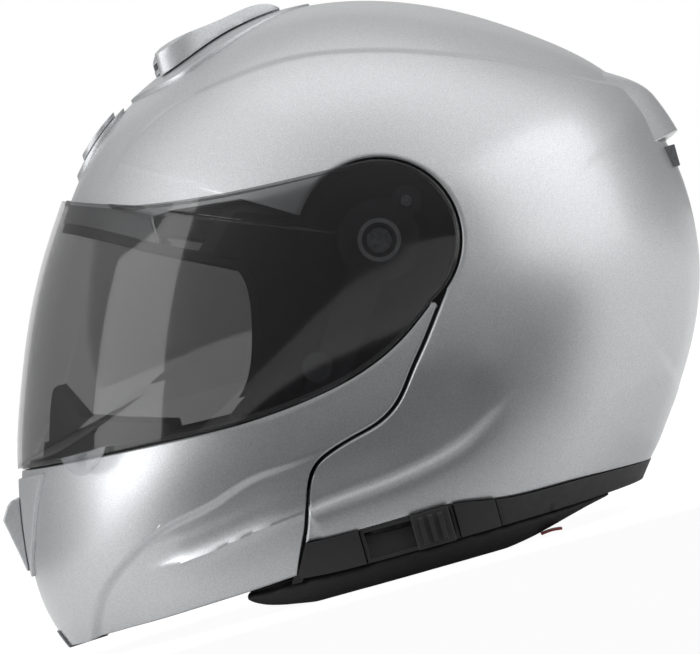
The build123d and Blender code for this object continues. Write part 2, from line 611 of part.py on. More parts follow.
def make_bottom_trim():
    trim = trim_piece(TRIM_PROUD, TRACK_X[0], TRIM_REAR_X)
    trim = trim - side_box(-HELMET_LENGTH, TRIM_START_X, 0, HELMET_HEIGHT, -CUT_OVERRUN, 0)
    keep("bottom_trim", trim)
    clip = trim_piece(CLIP_PROUD, *FRONT_CLIP_X, -CUT_OVERRUN, 0)
    keep("front_clip_left", clip)
    keep("front_clip_right", other_side(clip))
    keep("rear_clip_left", trim_piece(CLIP_PROUD, *REAR_CLIP_X, -CUT_OVERRUN, 0))
    low, high = TRACK_X
    window = side_box(low + TRACK_FRAME, high - TRACK_FRAME, *TRACK_Z, -CUT_OVERRUN, -TRACK_FLOOR_Y)
    keep("slider_track_left", trim_piece(TRIM_PROUD, low, high, -CUT_OVERRUN, 0) - window)
    knob_high = high - TRACK_FRAME - SLIDER_GAP
    knob_low = low + TRACK_FRAME + SLIDER_GAP + SLIDER_TRAVEL
    z_low, z_high = TRACK_Z
    plate_low, plate_high = SLIDER_PLATE_Y
    knob = side_box(knob_low, knob_high, z_low + SLIDER_GAP, z_high - SLIDER_GAP,
                    -plate_high, -TRACK_FLOOR_Y - SLIDER_FLOOR_GAP)
    knob = knob + side_box(knob_low, knob_high, z_low - SLIDER_PLATE_MARGIN, z_high + SLIDER_PLATE_MARGIN,
                           -plate_high, -plate_low)
    for rib in range(SLIDER_RIBS):
        x = knob_low + (knob_high - knob_low) * (rib + 1) / (SLIDER_RIBS + 1)
        knob = knob + side_box(x - SLIDER_RIB / 2, x + SLIDER_RIB / 2, z_low, z_high,
                               -plate_high - SLIDER_RIB_HEIGHT, -plate_high)
    keep("sun_visor_slider", knob)


# Chin strap: two webbing straps, their rivets, and a ratchet buckle that lies across the neck opening
STRAP_X = -2.0
STRAP_HALF_WIDTH = 11.0
STRAP_WALL = 2.0
STRAP_ANCHOR_Y = 84.0
STRAP_END_Y = 93.0
STRAP_DROP = 1.1
STRAP_TOP_Z = LINER_FOOT_Z - STRAP_DROP
STRAP_BEND = [(64.0, 0.0), (48.0, 2.6), (22.0, 7.6)]
RIVET_RADIUS = 2.5
RIVET_LENGTH = 8.0
RIVET_HEAD_RADIUS = 6.0
RIVET_HEAD = 1.2
BUCKLE_LOW_Z = 3.4
BUCKLE_HEIGHT = 7.6
BUCKLE_HALF_WIDTH = 13.0
BUCKLE_WALL = 2.2
BUCKLE_REACH = 9.0
TONGUE_WALL = 2.0
TONGUE_GAP = 0.5
LEVER_WALL = 2.0
LEVER_PIN_RADIUS = 1.2
LEVER_HINGE_Y = -18.0
LEVER_EAR = 2.4
LEVER_EAR_RADIUS = 2.6


def front_band(chain, wall, x_low, x_high):
    """A flat strap whose top follows a front-view chain of (y, z) points, carried along X."""
    lower = [(y, z - wall) for y, z in reversed(chain)]
    outline = Wire.make_polygon([Vector(x_low, y, z) for y, z in chain + lower], close=True)
    return extrude(Face(outline), amount=x_high - x_low, dir=(1, 0, 0))


def make_straps():
    top = [(-STRAP_END_Y, STRAP_TOP_Z)] + [(-y, STRAP_TOP_Z - drop) for y, drop in STRAP_BEND]
    low_x = STRAP_X - STRAP_HALF_WIDTH
    high_x = STRAP_X + STRAP_HALF_WIDTH
    strap = front_band(top, STRAP_WALL, low_x, high_x)
    strap = strap - Pos(STRAP_X, -STRAP_ANCHOR_Y, STRAP_TOP_Z) * Cylinder(RIVET_RADIUS, 2 * RIVET_LENGTH)
    keep("strap_left", strap)
    keep("strap_right", other_side(strap))
    head_z = STRAP_TOP_Z - STRAP_WALL - RIVET_HEAD / 2
    shaft_top = LINER_FOOT_Z + RIVET_LENGTH - SEAT_GAP
    shaft_low = STRAP_TOP_Z - STRAP_WALL
    rivet = Pos(STRAP_X, -STRAP_ANCHOR_Y, head_z) * Cylinder(RIVET_HEAD_RADIUS, RIVET_HEAD)
    shaft = Cylinder(RIVET_RADIUS, shaft_top - shaft_low)
    rivet = rivet + Pos(STRAP_X, -STRAP_ANCHOR_Y, (shaft_top + shaft_low) / 2) * shaft
    keep("strap_rivets", both_sides(rivet))


def x_rod(y, z, radius, x_low, x_high):
    """A round rod that lies along X."""
    return Pos((x_low + x_high) / 2, y, z) * Rot(0, 90, 0) * Cylinder(radius, x_high - x_low)


def make_buckle():
    """The ratchet buckle: its housing on the left strap, its tongue on the right one, and its lever."""
    strap_in_y = STRAP_BEND[-1][0]
    low_x = STRAP_X - BUCKLE_HALF_WIDTH
    high_x = STRAP_X + BUCKLE_HALF_WIDTH
    top_z = BUCKLE_LOW_Z + BUCKLE_HEIGHT
    housing = side_box(low_x, high_x, BUCKLE_LOW_Z, top_z, -strap_in_y, BUCKLE_REACH)
    channel_low = BUCKLE_LOW_Z + BUCKLE_WALL
    channel_high = top_z - BUCKLE_WALL
    housing = housing - side_box(low_x + BUCKLE_WALL, high_x - BUCKLE_WALL, channel_low, channel_high,
                                 BUCKLE_WALL - strap_in_y, BUCKLE_REACH)
    hinge_z = top_z + SEAT_GAP + LEVER_WALL / 2
    for ear_low in (low_x, high_x - LEVER_EAR):
        ear = x_rod(LEVER_HINGE_Y, hinge_z, LEVER_EAR_RADIUS, ear_low, ear_low + LEVER_EAR)
        housing = housing + ear
    pin_reach = LEVER_EAR / 2
    bore = x_rod(LEVER_HINGE_Y, hinge_z, LEVER_PIN_RADIUS + RUNNING_GAP, low_x, high_x)
    housing = housing - bore
    keep("buckle_housing", housing)
    lever_low = low_x + LEVER_EAR + SEAT_GAP
    lever_high = high_x - LEVER_EAR - SEAT_GAP
    lever = side_box(lever_low, lever_high, top_z + SEAT_GAP, top_z + SEAT_GAP + LEVER_WALL,
                     LEVER_HINGE_Y, BUCKLE_REACH + BUCKLE_WALL)
    lever = lever + x_rod(LEVER_HINGE_Y, hinge_z, LEVER_WALL / 2, lever_low, lever_high)
    pin_low = lever_low - pin_reach
    pin_high = lever_high + pin_reach
    lever = lever + x_rod(LEVER_HINGE_Y, hinge_z, LEVER_PIN_RADIUS, pin_low, pin_high)
    keep("buckle_lever", lever)
    middle = (channel_low + channel_high) / 2
    inset = BUCKLE_WALL + TONGUE_GAP
    tongue = side_box(low_x + inset, high_x - inset, middle - TONGUE_WALL / 2, middle + TONGUE_WALL / 2,
                      inset - strap_in_y, strap_in_y)
    keep("buckle_tongue", tongue)


# Latches that hold the chin bar shut, and the lever under the chin that frees them
STRIKER_X = -0.082 * HELMET_LENGTH
STRIKER_Z = 0.147 * HELMET_HEIGHT
STRIKER_RADIUS = 3.0
HOOK_PIVOT_X = -0.170 * HELMET_LENGTH
HOOK_PIVOT_RADIUS = 2.5
HOOK_HUB_RADIUS = 6.0
HOOK_WALL = 4.0
HOOK_BAR = 4.0
HOOK_NOSE = 4.0
HOOK_NOSE_DROP = 2.0
LEVER_FACE_SHARES = [
    (-0.500, 0.060), (-0.487, 0.034), (-0.469, 0.028), (-0.412, 0.031), (-0.412, 0.042), (-0.440, 0.060),
]
RELEASE_HALF_WIDTH = 23.0
RELEASE_PROUD = 1.0
RELEASE_X = -0.462 * HELMET_LENGTH
RELEASE_Z = 0.047 * HELMET_HEIGHT
RELEASE_PIN_RADIUS = 1.6
RELEASE_EAR = 4.0
RELEASE_GAP = 0.6


def release_ears():
    """The two ears inside the chin bar that the release lever turns in."""
    inner = RELEASE_HALF_WIDTH + RELEASE_GAP
    ear = side_box(RELEASE_X - 3 * RELEASE_EAR, RELEASE_X + RELEASE_EAR, RELEASE_Z - RELEASE_EAR,
                   RELEASE_Z + RELEASE_EAR, -inner - RELEASE_EAR, -inner)
    return both_sides(ear & shell_skin(-SHELL_WALL / 2))


def release_notch():
    """The notch in the chin bar's lower edge that the release lever sits in."""
    half = RELEASE_HALF_WIDTH + RELEASE_GAP
    top = LEVER_FACE_SHARES[0][1] * HELMET_HEIGHT + RELEASE_GAP
    rear = LEVER_FACE_SHARES[3][0] * HELMET_LENGTH + RELEASE_GAP
    return side_box(-HELMET_LENGTH, rear, 0, top, -half, half)


def make_latches():
    pin = cross_rod(STRIKER_X, STRIKER_Z, STRIKER_RADIUS, -CUT_OVERRUN, -HOOK_INNER + PIN_OVERHANG)
    keep("striker_pins", both_sides(pin & shell_skin(-SHELL_WALL)))
    pivot = cross_rod(HOOK_PIVOT_X, STRIKER_Z, HOOK_PIVOT_RADIUS, -CUT_OVERRUN, -HOOK_INNER + SEAT_GAP)
    keep("latch_pivots", both_sides(pivot & shell_skin(-SHELL_WALL)))
    bar_low = STRIKER_Z + STRIKER_RADIUS + SEAT_GAP
    nose_low_x = STRIKER_X + STRIKER_RADIUS + SEAT_GAP
    outer = -HOOK_INNER - HOOK_WALL
    hook = cross_rod(HOOK_PIVOT_X, STRIKER_Z, HOOK_HUB_RADIUS, outer, -HOOK_INNER)
    hook = hook + side_box(HOOK_PIVOT_X, nose_low_x + HOOK_NOSE, bar_low, bar_low + HOOK_BAR,
                           outer, -HOOK_INNER)
    hook = hook + side_box(nose_low_x, nose_low_x + HOOK_NOSE, STRIKER_Z - HOOK_NOSE_DROP, bar_low,
                           outer, -HOOK_INNER)
    hook = hook - cross_rod(HOOK_PIVOT_X, STRIKER_Z, HOOK_PIVOT_RADIUS + RUNNING_GAP)
    keep("latch_hook_left", hook)
    keep("latch_hook_right", other_side(hook))
    lever_box = prism(flat_face(("line", side(LEVER_FACE_SHARES))), -RELEASE_HALF_WIDTH, RELEASE_HALF_WIDTH)
    lever = lever_box & shell_skin(RELEASE_PROUD)
    reach = RELEASE_HALF_WIDTH + RELEASE_GAP + RELEASE_EAR / 2
    lever = lever + cross_rod(RELEASE_X, RELEASE_Z, RELEASE_PIN_RADIUS, -reach, reach)
    keep("chin_release_lever", lever)


# What lines the chin bar: foam, rubber rim, breath guard, curtain and the vent
CHIN_LINER_DEPTH = 16.0
CHIN_LINER_SHARES = [(-0.600, 0.300), (-0.200, 0.300), (-0.200, 0.058), (-0.600, 0.058)]
RIM_DEPTH = 4.5
RIM_HEIGHT = 9.0
RIM_LIFT = 3.0
RIM_END = 5
GUARD_OUTER = -12.0
GUARD_WALL = 2.4
GUARD_SHARES = [
    (-0.600, 0.301), (-0.600, 0.385), (-0.416, 0.385), (-0.398, 0.470), (-0.382, 0.475), (-0.362, 0.410),
    (-0.316, 0.387), (-0.250, 0.360), (-0.250, 0.301),
]
CURTAIN_SHARES = [(-0.600, 0.046), (-0.600, 0.054), (-0.290, 0.054), (-0.290, 0.046)]
CURTAIN_DEPTH = 50.0
VENT_FRAME_PROUD = 2.0
VENT_FRAME_SHARES = [
    (0.235, 0.335), (0.155, 0.225), (0.085, 0.165), (-0.085, 0.165), (-0.155, 0.225), (-0.235, 0.335),
]
VENT_COVER_SHARES = [
    (-0.450, 0.303), (-0.488, 0.303), (-0.496, 0.294), (-0.506, 0.273), (-0.497, 0.204), (-0.494, 0.177),
    (-0.489, 0.172), (-0.450, 0.172),
]
VENT_COVER_TOP_Y = 22.0
VENT_COVER_LOW_Y = 15.0


def front_field(points, x_low, x_high):
    """A front-view outline of (y, z) points carried along X."""
    outline = Wire.make_polygon([Vector(x_low, y, z) for y, z in points], close=True)
    return extrude(Face(outline), amount=x_high - x_low, dir=(1, 0, 0))


def make_chin_lining():
    foam_field = prism(flat_face(("line", side(CHIN_LINER_SHARES))))
    foam = layer(LINER_OUTER, LINER_OUTER - CHIN_LINER_DEPTH, foam_field)
    notch = release_notch()
    foam = foam - notch - release_ears()
    keep("chin_bar_liner", foam)
    low_edge = SHIELD_LOW_SHARES[:RIM_END]
    rim_face = flat_face(
        ("curve", side(low_edge, 0, RIM_LIFT)),
        ("curve", side(low_edge, 0, RIM_LIFT - RIM_HEIGHT)[::-1]),
    )
    keep("chin_bar_gasket", layer(LINER_OUTER, LINER_OUTER - RIM_DEPTH, prism(rim_face)))
    guard = layer(GUARD_OUTER, GUARD_OUTER - GUARD_WALL, prism(flat_face(("line", side(GUARD_SHARES)))))
    keep("breath_guard", guard)
    curtain_field = prism(flat_face(("line", side(CURTAIN_SHARES))))
    curtain = layer(LINER_OUTER, LINER_OUTER - CURTAIN_DEPTH, curtain_field)
    keep("chin_curtain", curtain - notch - release_ears())


def make_chin_vent():
    points = [(y * 2 * SHELL_HALF_WIDTH, z * HELMET_HEIGHT) for y, z in VENT_FRAME_SHARES]
    frame = layer(VENT_FRAME_PROUD, 0, front_field(points, -HELMET_LENGTH, -HELMET_LENGTH / 3))
    keep("chin_vent_frame", frame)
    outline = side(VENT_COVER_SHARES)
    corners = [(VENT_COVER_TOP_Y, outline[0][1]), (VENT_COVER_LOW_Y, outline[-1][1])]
    sides = corners + [(-y, z) for y, z in reversed(corners)]
    cover = prism(flat_face(("line", outline))) & front_field(sides, -HELMET_LENGTH, 0)
    keep("chin_vent_cover", cover - shell_skin(VENT_FRAME_PROUD + SEAT_GAP))


# Vents on the shell and the rubber edge round the eyeport
GASKET_PROUD = -0.8
GASKET_DEPTH = 6.0
GASKET_WIDTH = 5.0
GASKET_LINK_DROP = 1.2
BROW_PLAN_SHARES = [
    (-0.288, 0.0), (-0.280, 0.035), (-0.256, 0.058), (-0.224, 0.062), (-0.208, 0.045), (-0.203, 0.0),
]
BROW_BASE_PROUD = 2.0
BROW_SLIDER_PROUD = 4.2
BROW_SLIDER_SHARE = 0.66
TOP_PLAN_SHARES = [
    (-0.190, 0.0), (-0.181, 0.055), (-0.152, 0.121), (-0.113, 0.164), (-0.051, 0.164), (0.014, 0.121),
    (0.056, 0.063), (0.076, 0.0),
]
TOP_BASE_PROUD = 2.2
SCOOP_PLAN_SHARES = [
    (-0.142, 0.0), (-0.139, 0.100), (-0.118, 0.114), (-0.060, 0.100), (0.000, 0.070), (0.036, 0.040),
    (0.042, 0.0),
]
SCOOP_SIDE_SHARES = [
    (-0.145, 0.930), (-0.140, 0.990), (-0.093, 1.005), (-0.032, 1.016), (0.031, 1.013), (0.045, 0.990),
    (0.045, 0.930),
]
SCOOP_PROUD = 12.5
SCOOP_CLEARANCE = 0.9
SCOOP_WALL = 2.2
SCOOP_MOUTH_DEPTH = 22.0
REAR_SIDE_SHARES = [
    (0.440, 0.722), (0.486, 0.689), (0.496, 0.670), (0.509, 0.618), (0.507, 0.610), (0.495, 0.597),
    (0.440, 0.590),
]
REAR_FRONT_SHARES = [(0.230, 0.700), (0.200, 0.560), (-0.200, 0.560), (-0.230, 0.700)]
REAR_PROUD = 7.5
REAR_INSERT_SIDE_SHARES = [(0.450, 0.590), (0.494, 0.590), (0.494, 0.552), (0.450, 0.552)]
REAR_INSERT_HALF_WIDTH = 40.0


def plan_field(shares, z_low, z_high):
    """A plan-view outline, given for one side from front to back, closed as a smooth symmetric curve."""
    half = [(x * HELMET_LENGTH, y * 2 * SHELL_HALF_WIDTH) for x, y in shares]
    whole = half + [(x, -y) for x, y in half[-2:0:-1]]
    return plan_prism(whole, z_low, z_high)


def make_eyeport_gasket():
    top = side(EYEPORT_TOP_SHARES)
    strip = flat_face(("curve", top), ("curve", side(EYEPORT_TOP_SHARES, 0, -GASKET_WIDTH)[::-1]))
    link = flat_face(
        ("curve", side(EYEPORT_TOP_SHARES, 0, -GASKET_LINK_DROP)),
        ("curve", side(EYEPORT_TOP_SHARES, 0, -GASKET_WIDTH)[::-1]),
    )
    rear = flat_face(
        ("curve", side(EYEPORT_REAR_SHARES, -SEAT_GAP)),
        ("curve", side(EYEPORT_REAR_SHARES, -GASKET_WIDTH)[::-1]),
    )
    inside = side_box(-HELMET_LENGTH, HELMET_LENGTH, 0, HELMET_HEIGHT, -FLOOR_OUTER, FLOOR_OUTER)
    brow = layer(GASKET_PROUD, -GASKET_DEPTH, prism(strip) & inside)
    upright = prism(rear, -FLOOR_OUTER, -FLOOR_INNER)
    link_box = side_box(FLOOR_TOP_FRONT[0] + GASKET_WIDTH, PIVOT_X, 0, HELMET_HEIGHT,
                        -FLOOR_OUTER, -FLOOR_INNER)
    keep("eyeport_gasket", brow + both_sides(upright + (prism(link) & link_box)))


def make_vents():
    high = 2 * HELMET_HEIGHT
    low = HELMET_HEIGHT / 2
    keep("brow_vent_base", layer(BROW_BASE_PROUD, 0, plan_field(BROW_PLAN_SHARES, low, high)))
    middle = (BROW_PLAN_SHARES[0][0] + BROW_PLAN_SHARES[-1][0]) / 2
    small = [(middle + (x - middle) * BROW_SLIDER_SHARE, y * BROW_SLIDER_SHARE) for x, y in BROW_PLAN_SHARES]
    slider_low = BROW_BASE_PROUD + SEAT_GAP
    keep("brow_vent_slider", layer(BROW_SLIDER_PROUD, slider_low, plan_field(small, low, high)))
    keep("top_vent_base", layer(TOP_BASE_PROUD, 0, plan_field(TOP_PLAN_SHARES, low, high)))
    outline = prism(flat_face(("curve", side(SCOOP_SIDE_SHARES))))
    scoop_low = TOP_BASE_PROUD + SCOOP_CLEARANCE
    scoop = layer(SCOOP_PROUD, scoop_low, outline, plan_field(SCOOP_PLAN_SHARES, low, high))
    front_x = SCOOP_PLAN_SHARES[0][0] * HELMET_LENGTH
    mouth_half = SCOOP_PLAN_SHARES[1][1] * 2 * SHELL_HALF_WIDTH - 2 * SCOOP_WALL
    mouth = side_box(-HELMET_LENGTH, front_x + SCOOP_MOUTH_DEPTH, 0, high, -mouth_half, mouth_half)
    mouth = (mouth & shell_skin(SCOOP_PROUD - 2 * SCOOP_WALL)) - shell_skin(scoop_low + SCOOP_WALL)
    scoop = scoop - mouth
    keep("top_vent_scoop", max(scoop.solids(), key=lambda s: s.volume))
    rear_front = [(y * 2 * SHELL_HALF_WIDTH, z * HELMET_HEIGHT) for y, z in REAR_FRONT_SHARES]
    lip = prism(flat_face(("line", side(REAR_SIDE_SHARES)))) & front_field(rear_front, 0, HELMET_LENGTH)
    keep("rear_vent_frame", (lip & shell_skin(REAR_PROUD)) - shell_skin(0))
    insert_face = flat_face(("line", side(REAR_INSERT_SIDE_SHARES)))
    insert = prism(insert_face, -REAR_INSERT_HALF_WIDTH, REAR_INSERT_HALF_WIDTH)
    keep("rear_vent_insert", insert - shell_skin(0))


def make_pull_tabs():
    """The red ribbons that free the cheek pads, laid under the neck roll."""
    curve = side(NECK_BOTTOM_REAR_SHARES, 0, -SEAT_GAP)
    lower = side(NECK_BOTTOM_REAR_SHARES, 0, -SEAT_GAP - PULL_TAB_WALL)
    ribbon = prism(flat_face(("curve", curve), ("curve", lower[::-1])))
    box = side_box(*PULL_TAB_X, 0, HELMET_HEIGHT, -PULL_TAB_Y[1], -PULL_TAB_Y[0])
    keep("cheek_pull_tabs", both_sides(ribbon & box))


def save_all():
    os.makedirs("parts", exist_ok=True)
    for name, shape in NODES.items():
        export_step(shape, f"parts/{name}.step")


make_outer_shell()
make_chin_bar()
make_chin_arms()
make_face_shield()
make_pivot_hardware()
make_eps_liner()
make_padding()
make_sun_visor()
make_bottom_trim()
make_straps()
make_buckle()
make_latches()
make_chin_lining()
make_chin_vent()
make_eyeport_gasket()
make_vents()
make_pull_tabs()
save_all()
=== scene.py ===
import json
import math

import bmesh
import bpy
import numpy as np
from mathutils import Matrix, Vector


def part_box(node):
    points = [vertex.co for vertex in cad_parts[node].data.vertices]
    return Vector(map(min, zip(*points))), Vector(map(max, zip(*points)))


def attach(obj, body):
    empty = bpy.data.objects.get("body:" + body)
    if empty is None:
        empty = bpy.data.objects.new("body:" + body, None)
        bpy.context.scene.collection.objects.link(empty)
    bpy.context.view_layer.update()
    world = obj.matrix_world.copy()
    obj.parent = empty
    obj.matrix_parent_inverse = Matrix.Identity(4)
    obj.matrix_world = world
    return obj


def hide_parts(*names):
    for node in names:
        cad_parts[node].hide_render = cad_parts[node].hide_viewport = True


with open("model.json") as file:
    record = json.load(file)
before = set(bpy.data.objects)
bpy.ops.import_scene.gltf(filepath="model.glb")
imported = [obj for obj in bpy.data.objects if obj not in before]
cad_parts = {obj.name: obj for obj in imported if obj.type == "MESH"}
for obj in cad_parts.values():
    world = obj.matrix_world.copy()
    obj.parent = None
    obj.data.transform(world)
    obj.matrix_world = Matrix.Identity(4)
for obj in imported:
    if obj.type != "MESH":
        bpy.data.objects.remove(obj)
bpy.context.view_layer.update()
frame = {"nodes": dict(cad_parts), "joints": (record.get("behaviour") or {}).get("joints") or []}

bl_info = {
    "name": "Flip-up helmet dresser",
    "version": (1, 0, 0),
    "blender": (4, 5, 0),
    "location": "View3D > Sidebar > Helmet",
    "description": "Paint, lens, trim and padding for a flip-up motorcycle helmet",
    "category": "Object",
}

# Units and axes: metres, +Z up, the face looks along -X, the wearer's left is -Y
MM = 0.001
TURN = 2 * math.pi
LENGTH = 354 * MM
HEIGHT = 272 * MM
SHELL_HALF_WIDTH = 128 * MM
SHIELD_HALF_WIDTH = 131 * MM
PIVOT_X, _, PIVOT_Z = next(joint["pos_m"] for joint in frame["joints"] if joint["name"] == "chin_bar_flip")
# Radius of the round pod about the pivot, and the gap that the paintwork leaves round it
POD_RADIUS = 36.8 * MM
POD_GAP = 1.5 * MM
# Points that smooth_curve puts between two of the given ones
CURVE_STEPS = 24

# Skins of the shell and the shield: x share, z share, fullness of the cross-section there
SHELL_SKIN_SHARES = [
    (0.297, -0.018, 2.60), (0.155, -0.165, 2.55), (-0.056, -0.228, 2.50), (-0.268, -0.184, 2.45),
    (-0.424, -0.055, 2.40), (-0.485, 0.110, 2.35), (-0.483, 0.230, 2.30), (-0.466, 0.346, 2.30),
    (-0.427, 0.471, 2.25), (-0.374, 0.629, 2.10), (-0.307, 0.776, 1.95), (-0.239, 0.873, 1.92),
    (-0.157, 0.935, 1.95), (-0.064, 0.979, 2.00), (0.023, 0.996, 2.03), (0.113, 0.987, 2.05),
    (0.257, 0.919, 2.12), (0.361, 0.832, 2.22), (0.446, 0.728, 2.33), (0.487, 0.610, 2.38),
    (0.498, 0.485, 2.42), (0.481, 0.355, 2.50), (0.440, 0.235, 2.56), (0.381, 0.121, 2.60),
]
SHIELD_SKIN_SHARES = [
    (0.311, 0, 2.6), (0.155, -0.165, 2.6), (-0.056, -0.228, 2.6), (-0.282, -0.184, 2.6),
    (-0.466, 0, 2.5), (-0.484, 0.221, 2.45), (-0.469, 0.360, 2.4), (-0.438, 0.484, 2.4),
    (-0.401, 0.599, 2.4), (-0.358, 0.702, 2.4), (-0.317, 0.782, 2.4), (-0.240, 0.915, 2.4),
    (-0.113, 1.030, 2.4), (0.056, 1.066, 2.4), (0.226, 0.997, 2.4), (0.367, 0.846, 2.5),
    (0.466, 0.625, 2.6), (0.486, 0.423, 2.6), (0.424, 0.221, 2.6),
]
# Edges in side view, from the front backwards
SHIELD_TOP_SHARES = [
    (-0.340, 0.796), (-0.295, 0.771), (-0.257, 0.749), (-0.205, 0.731), (-0.138, 0.717),
    (-0.070, 0.708), (0.000, 0.703),
]
SHIELD_LOW_SHARES = [
    (-0.510, 0.357), (-0.466, 0.352), (-0.358, 0.342), (-0.262, 0.335), (-0.165, 0.330),
    (-0.065, 0.339), (-0.005, 0.354), (0.074, 0.397), (0.122, 0.442),
]
EYEPORT_TOP_SHARES = [
    (-0.400, 0.780), (-0.312, 0.740), (-0.217, 0.672), (-0.150, 0.628), (-0.101, 0.595),
]
SPLIT_SHARES = [
    (0.147, 0.453), (0.125, 0.416), (0.099, 0.372), (0.075, 0.334), (0.047, 0.290),
    (0.016, 0.265), (-0.018, 0.253), (-0.052, 0.240), (-0.078, 0.222), (-0.094, 0.192),
    (-0.103, 0.160), (-0.112, 0.124), (-0.119, 0.103),
]
SPLIT_BEND = 8
CHIN_FOOT_SHARES = [
    (-0.560, 0.029), (-0.441, 0.032), (-0.354, 0.036), (-0.283, 0.041), (-0.212, 0.045),
    (-0.142, 0.051),
]
SHELL_FOOT_SHARES = [
    (-0.119, 0.103), (-0.044, 0.100), (0.033, 0.101), (0.088, 0.099), (0.139, 0.087),
    (0.230, 0.081), (0.380, 0.072), (0.560, 0.066),
]
SEAL_END_SHARES = [(-0.144, 0.040)]
RECESS_TOP_SHARES = [(0.000, 0.678), (-0.168, 0.707), (-0.200, 0.707), (-0.200, 0.640)]
CROWN_LOW_SHARES = [
    (-0.260, 0.830), (-0.100, 0.630), (-0.050, 0.520), (0.080, 0.450), (0.300, 0.420), (0.520, 0.420),
]

# Pressed lines in the paintwork, in side view
UPPER_LINE_SHARES = [
    (-0.260, 0.760), (-0.212, 0.831), (-0.172, 0.862), (-0.127, 0.884), (-0.085, 0.893), (-0.030, 0.901),
    (0.042, 0.901), (0.125, 0.881), (0.187, 0.857), (0.236, 0.834), (0.301, 0.800), (0.356, 0.762),
    (0.416, 0.724), (0.450, 0.699), (0.466, 0.669), (0.478, 0.621), (0.479, 0.572),
]
FLANK_LINE_SHARES = [
    (-0.107, 0.154), (-0.061, 0.161), (-0.009, 0.166), (0.048, 0.176), (0.105, 0.194), (0.146, 0.217),
    (0.182, 0.246), (0.220, 0.291),
]
REAR_FLANK_SHARES = [
    (0.207, 0.153), (0.257, 0.170), (0.327, 0.204), (0.385, 0.218), (0.414, 0.231),
]
REAR_EDGE_SHARES = [
    (0.335, 0.079), (0.366, 0.137), (0.394, 0.191), (0.423, 0.244), (0.444, 0.291), (0.459, 0.363),
    (0.459, 0.435), (0.457, 0.515),
]
CHIN_ARC_SHARES = [
    (-0.435, 0.018), (-0.422, 0.059), (-0.398, 0.112), (-0.365, 0.147), (-0.320, 0.180), (-0.278, 0.198),
    (-0.230, 0.210), (-0.168, 0.235), (-0.099, 0.243), (-0.063, 0.249), (-0.024, 0.252),
]
CHIN_RIDGE_SHARES = [
    (-0.344, 0.127), (-0.294, 0.127), (-0.230, 0.135), (-0.172, 0.147), (-0.104, 0.155),
]


def linear(colour):
    """An sRGB hex colour as linear RGB."""
    parts = [int(colour[i:i + 2], 16) / 255 for i in (1, 3, 5)]
    return tuple(p / 12.92 if p <= 0.04045 else ((p + 0.055) / 1.055) ** 2.4 for p in parts)


def length_setting(name, description, default, least):
    """A length that a user can set, given here in millimetres."""
    return bpy.props.FloatProperty(
        name=name, description=description, default=default * MM, min=least * MM, unit="LENGTH")


def colour_setting(name, description, default):
    """A colour that a user can set, given here as an sRGB hex colour."""
    return bpy.props.FloatVectorProperty(
        name=name, description=description, subtype="COLOR", default=linear(default), min=0, max=1)


class HelmetSizes(bpy.types.PropertyGroup):
    """Sizes of the dressing that a user would change."""

    shell_wall: length_setting("Shell wall", "Thickness of the moulded shell at its edges", 3.6, 1)
    shield_wall: length_setting("Shield wall", "Thickness of the face shield", 2.2, 1)
    edge_roll: length_setting("Edge roll", "How far a painted edge is rounded over", 1.6, 0.2)
    press_depth: length_setting("Press depth", "Depth of the pressed lines in the shell and chin bar", 2.4, 0)
    flake: length_setting("Flake", "Size of the paint's aluminium flakes, coarse enough to show", 0.5, 0.1)
    knit: length_setting("Knit", "Spacing of the lining's knitted loops", 1.1, 0.3)
    bead: length_setting("Bead", "Diameter of the foam's beads", 3.0, 1)


class HelmetColours(bpy.types.PropertyGroup):
    """Colours of the dressing that a user would change."""

    paint: colour_setting("Paint", "Aluminium flake in the base coat", "#c3c5c7")
    lens: colour_setting("Lens", "Smoke tint of the face shield", "#232325")
    plastic: colour_setting("Plastic", "Moulded black plastic", "#1d1d1f")
    lining: colour_setting("Lining", "Knitted lining cloth", "#17171a")
    ribbon: colour_setting("Ribbon", "Woven pull tabs of the cheek pads", "#8e1f22")


# Curves and skins
def smooth_curve(points, closed=False, steps=CURVE_STEPS):
    """Points along the cubic spline through the given points, which keeps its bend steady at each of them."""
    points = np.array(points, float)
    count = len(points)
    spans = count if closed else count - 1
    following = np.array([points[(i + 1) % count] for i in range(spans)])
    chord = np.linalg.norm((following - points[:spans])[:, :2], axis=1)
    slope = (following - points[:spans]) / chord[:, None]
    matrix = np.zeros((count, count))
    right = np.zeros_like(points)
    for i in range(count):
        before, after = (i - 1) % count, (i + 1) % count
        if closed or 0 < i < count - 1:
            low, high = 1 / chord[i - 1], 1 / chord[i % spans]
            matrix[i, before] += low
            matrix[i, i] += 2 * (low + high)
            matrix[i, after] += high
            right[i] = 3 * (slope[i - 1] * low + slope[i % spans] * high)
        elif i == 0:
            matrix[i, i], matrix[i, after], right[i] = 2, 1, 3 * slope[0]
        else:
            matrix[i, i], matrix[i, before], right[i] = 2, 1, 3 * slope[-1]
    tangent = np.linalg.solve(matrix, right)
    along = np.arange(steps) / steps
    found = []
    for i in range(spans):
        j = (i + 1) % count
        for t in along:
            found.append(
                (1 + 2 * t) * (1 - t) ** 2 * points[i] + t * (1 - t) ** 2 * chord[i] * tangent[i]
                + t * t * (3 - 2 * t) * points[j] - t * t * (1 - t) * chord[i] * tangent[j])
    if not closed:
        found.append(points[-1])
    return np.array(found)


def side(shares, shift_z=0.0):
    """Side-view shares as (x, z) points in metres."""
    return [(x * LENGTH, z * HEIGHT + shift_z) for x, z in shares]


def straight(points, steps=40):
    """Close points along straight runs."""
    points = np.array(points, float)
    runs = [a + (b - a) * np.linspace(0, 1, steps)[:, None] for a, b in zip(points, points[1:])]
    return np.concatenate(runs)


